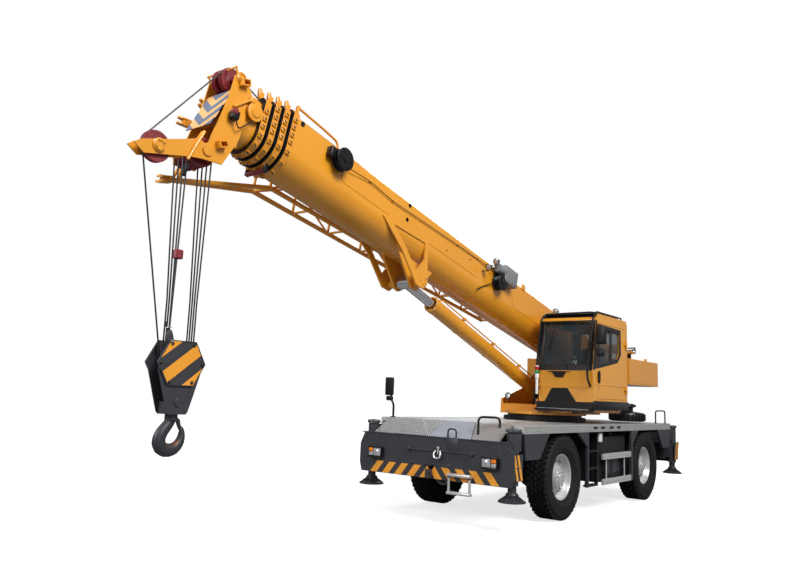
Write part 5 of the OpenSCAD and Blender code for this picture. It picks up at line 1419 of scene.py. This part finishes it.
fit_piece("wedge_socket", shape, "block", "dark_steel", block_grey, bare_steel, rope_wire, place=socket)

# Hook: a drop-forged single hook with a tapered point and a sprung latch, left dark with rust worn into
# its throat. It is swept from round to oval sections along its bend and turns in the block's cross head.
forged = finish("forged_hook", (0.026, 0.027, 0.032), 0.46, shine=0.4, mottle=0.14, patch=7, grain=60,
                relief=0.08)
net = forged.node_tree
x, _, z = place_of(net)
dx, dz = calc(net, "SUBTRACT", x, HANG_X - 0.012), calc(net, "SUBTRACT", z, 1.275)
reach = calc(net, "SQRT", calc(net, "ADD", calc(net, "MULTIPLY", dx, dx), calc(net, "MULTIPLY", dz, dz)))
worn = remap(net, reach, 0.11, 0.07, 0.0, 1.0).outputs["Result"]
patchy = calc(net, "MULTIPLY", worn, spread(net, noise_field(net, coords_of(net), 26, 5), -0.4, 1.3))
second_coat(forged, (0.19, 0.062, 0.018), calc(net, "MULTIPLY", patchy, calc(net, "LESS_THAN", z, 1.27)))


def forged_bar(stations, sides=20):
    part = bmesh.new()
    loops = []
    for n, (u, z, wide, deep) in enumerate(stations):
        before, after = stations[max(n - 1, 0)], stations[min(n + 1, len(stations) - 1)]
        way = Vector((after[0] - before[0], 0, after[1] - before[1])).normalized()
        across = Vector((0, 1, 0)).cross(way)
        seat = moved(u, 0, z) @ Matrix((across * wide, Vector((0, deep, 0)), way)).transposed().to_4x4()
        ring = bmesh.ops.create_circle(part, cap_ends=n in (0, len(stations) - 1), segments=sides, radius=1,
                                       matrix=seat)["verts"]
        loops.append(list({edge for vert in ring for edge in vert.link_edges}))
    for first, second in zip(loops, loops[1:]):
        bmesh.ops.bridge_loops(part, edges=first + second)
    bmesh.ops.subdivide_edges(part, edges=part.edges[:], cuts=1, use_grid_fill=True)
    bmesh.ops.smooth_vert(part, verts=part.verts, factor=0.5, use_axis_x=True, use_axis_y=True, use_axis_z=True)
    return part


bend = [(0.0, 1.52, 0.046, 0.046), (0.0, 1.475, 0.05, 0.048), (-0.012, 1.435, 0.054, 0.05),
        (-0.045, 1.39, 0.058, 0.053), (-0.085, 1.34, 0.062, 0.056), (-0.112, 1.285, 0.066, 0.058),
        (-0.116, 1.228, 0.07, 0.06), (-0.09, 1.18, 0.073, 0.06), (-0.045, 1.155, 0.074, 0.06),
        (0.005, 1.15, 0.071, 0.058), (0.055, 1.163, 0.065, 0.054), (0.095, 1.195, 0.057, 0.049),
        (0.122, 1.24, 0.048, 0.043), (0.134, 1.29, 0.039, 0.036), (0.134, 1.335, 0.03, 0.029),
        (0.128, 1.37, 0.022, 0.022), (0.12, 1.392, 0.01, 0.01)]
shape = bmesh.new()
turn_back = scaled(-1.08, 1, 1)
add_part(shape, forged_bar(bend), turn_back)
stem = [(0.0, 1.7), (0.04, 1.7), (0.044, 1.696), (0.044, 1.5), (0.0, 1.5)]
top_nut = [(0.044, 1.646), (0.074, 1.646), (0.075, 1.652), (0.075, 1.69), (0.068, 1.695), (0.044, 1.695)]
collar = [(0.044, 1.44), (0.06, 1.444), (0.066, 1.456), (0.066, 1.51), (0.06, 1.5145), (0.044, 1.5145)]
for profile, sides in ((stem, 28), (top_nut, 6), (collar, 32)):
    add_part(shape, turned(profile, sides))
latch = cut_plate([(0.03, 1.47), (0.075, 1.478), (0.095, 1.455), (0.118, 1.362), (0.104, 1.352), (0.062, 1.44),
                   (0.034, 1.446)], 0.044, 0.006, 2)
add_part(shape, latch, turn_back @ facing_left(-0.022), 1)
hook = fit_piece("forged_hook", shape, "hook", "dark_steel", forged, block_grey, crease=50,
                 place=moved(HANG_X, HANG_Y, 0))
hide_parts("hook")
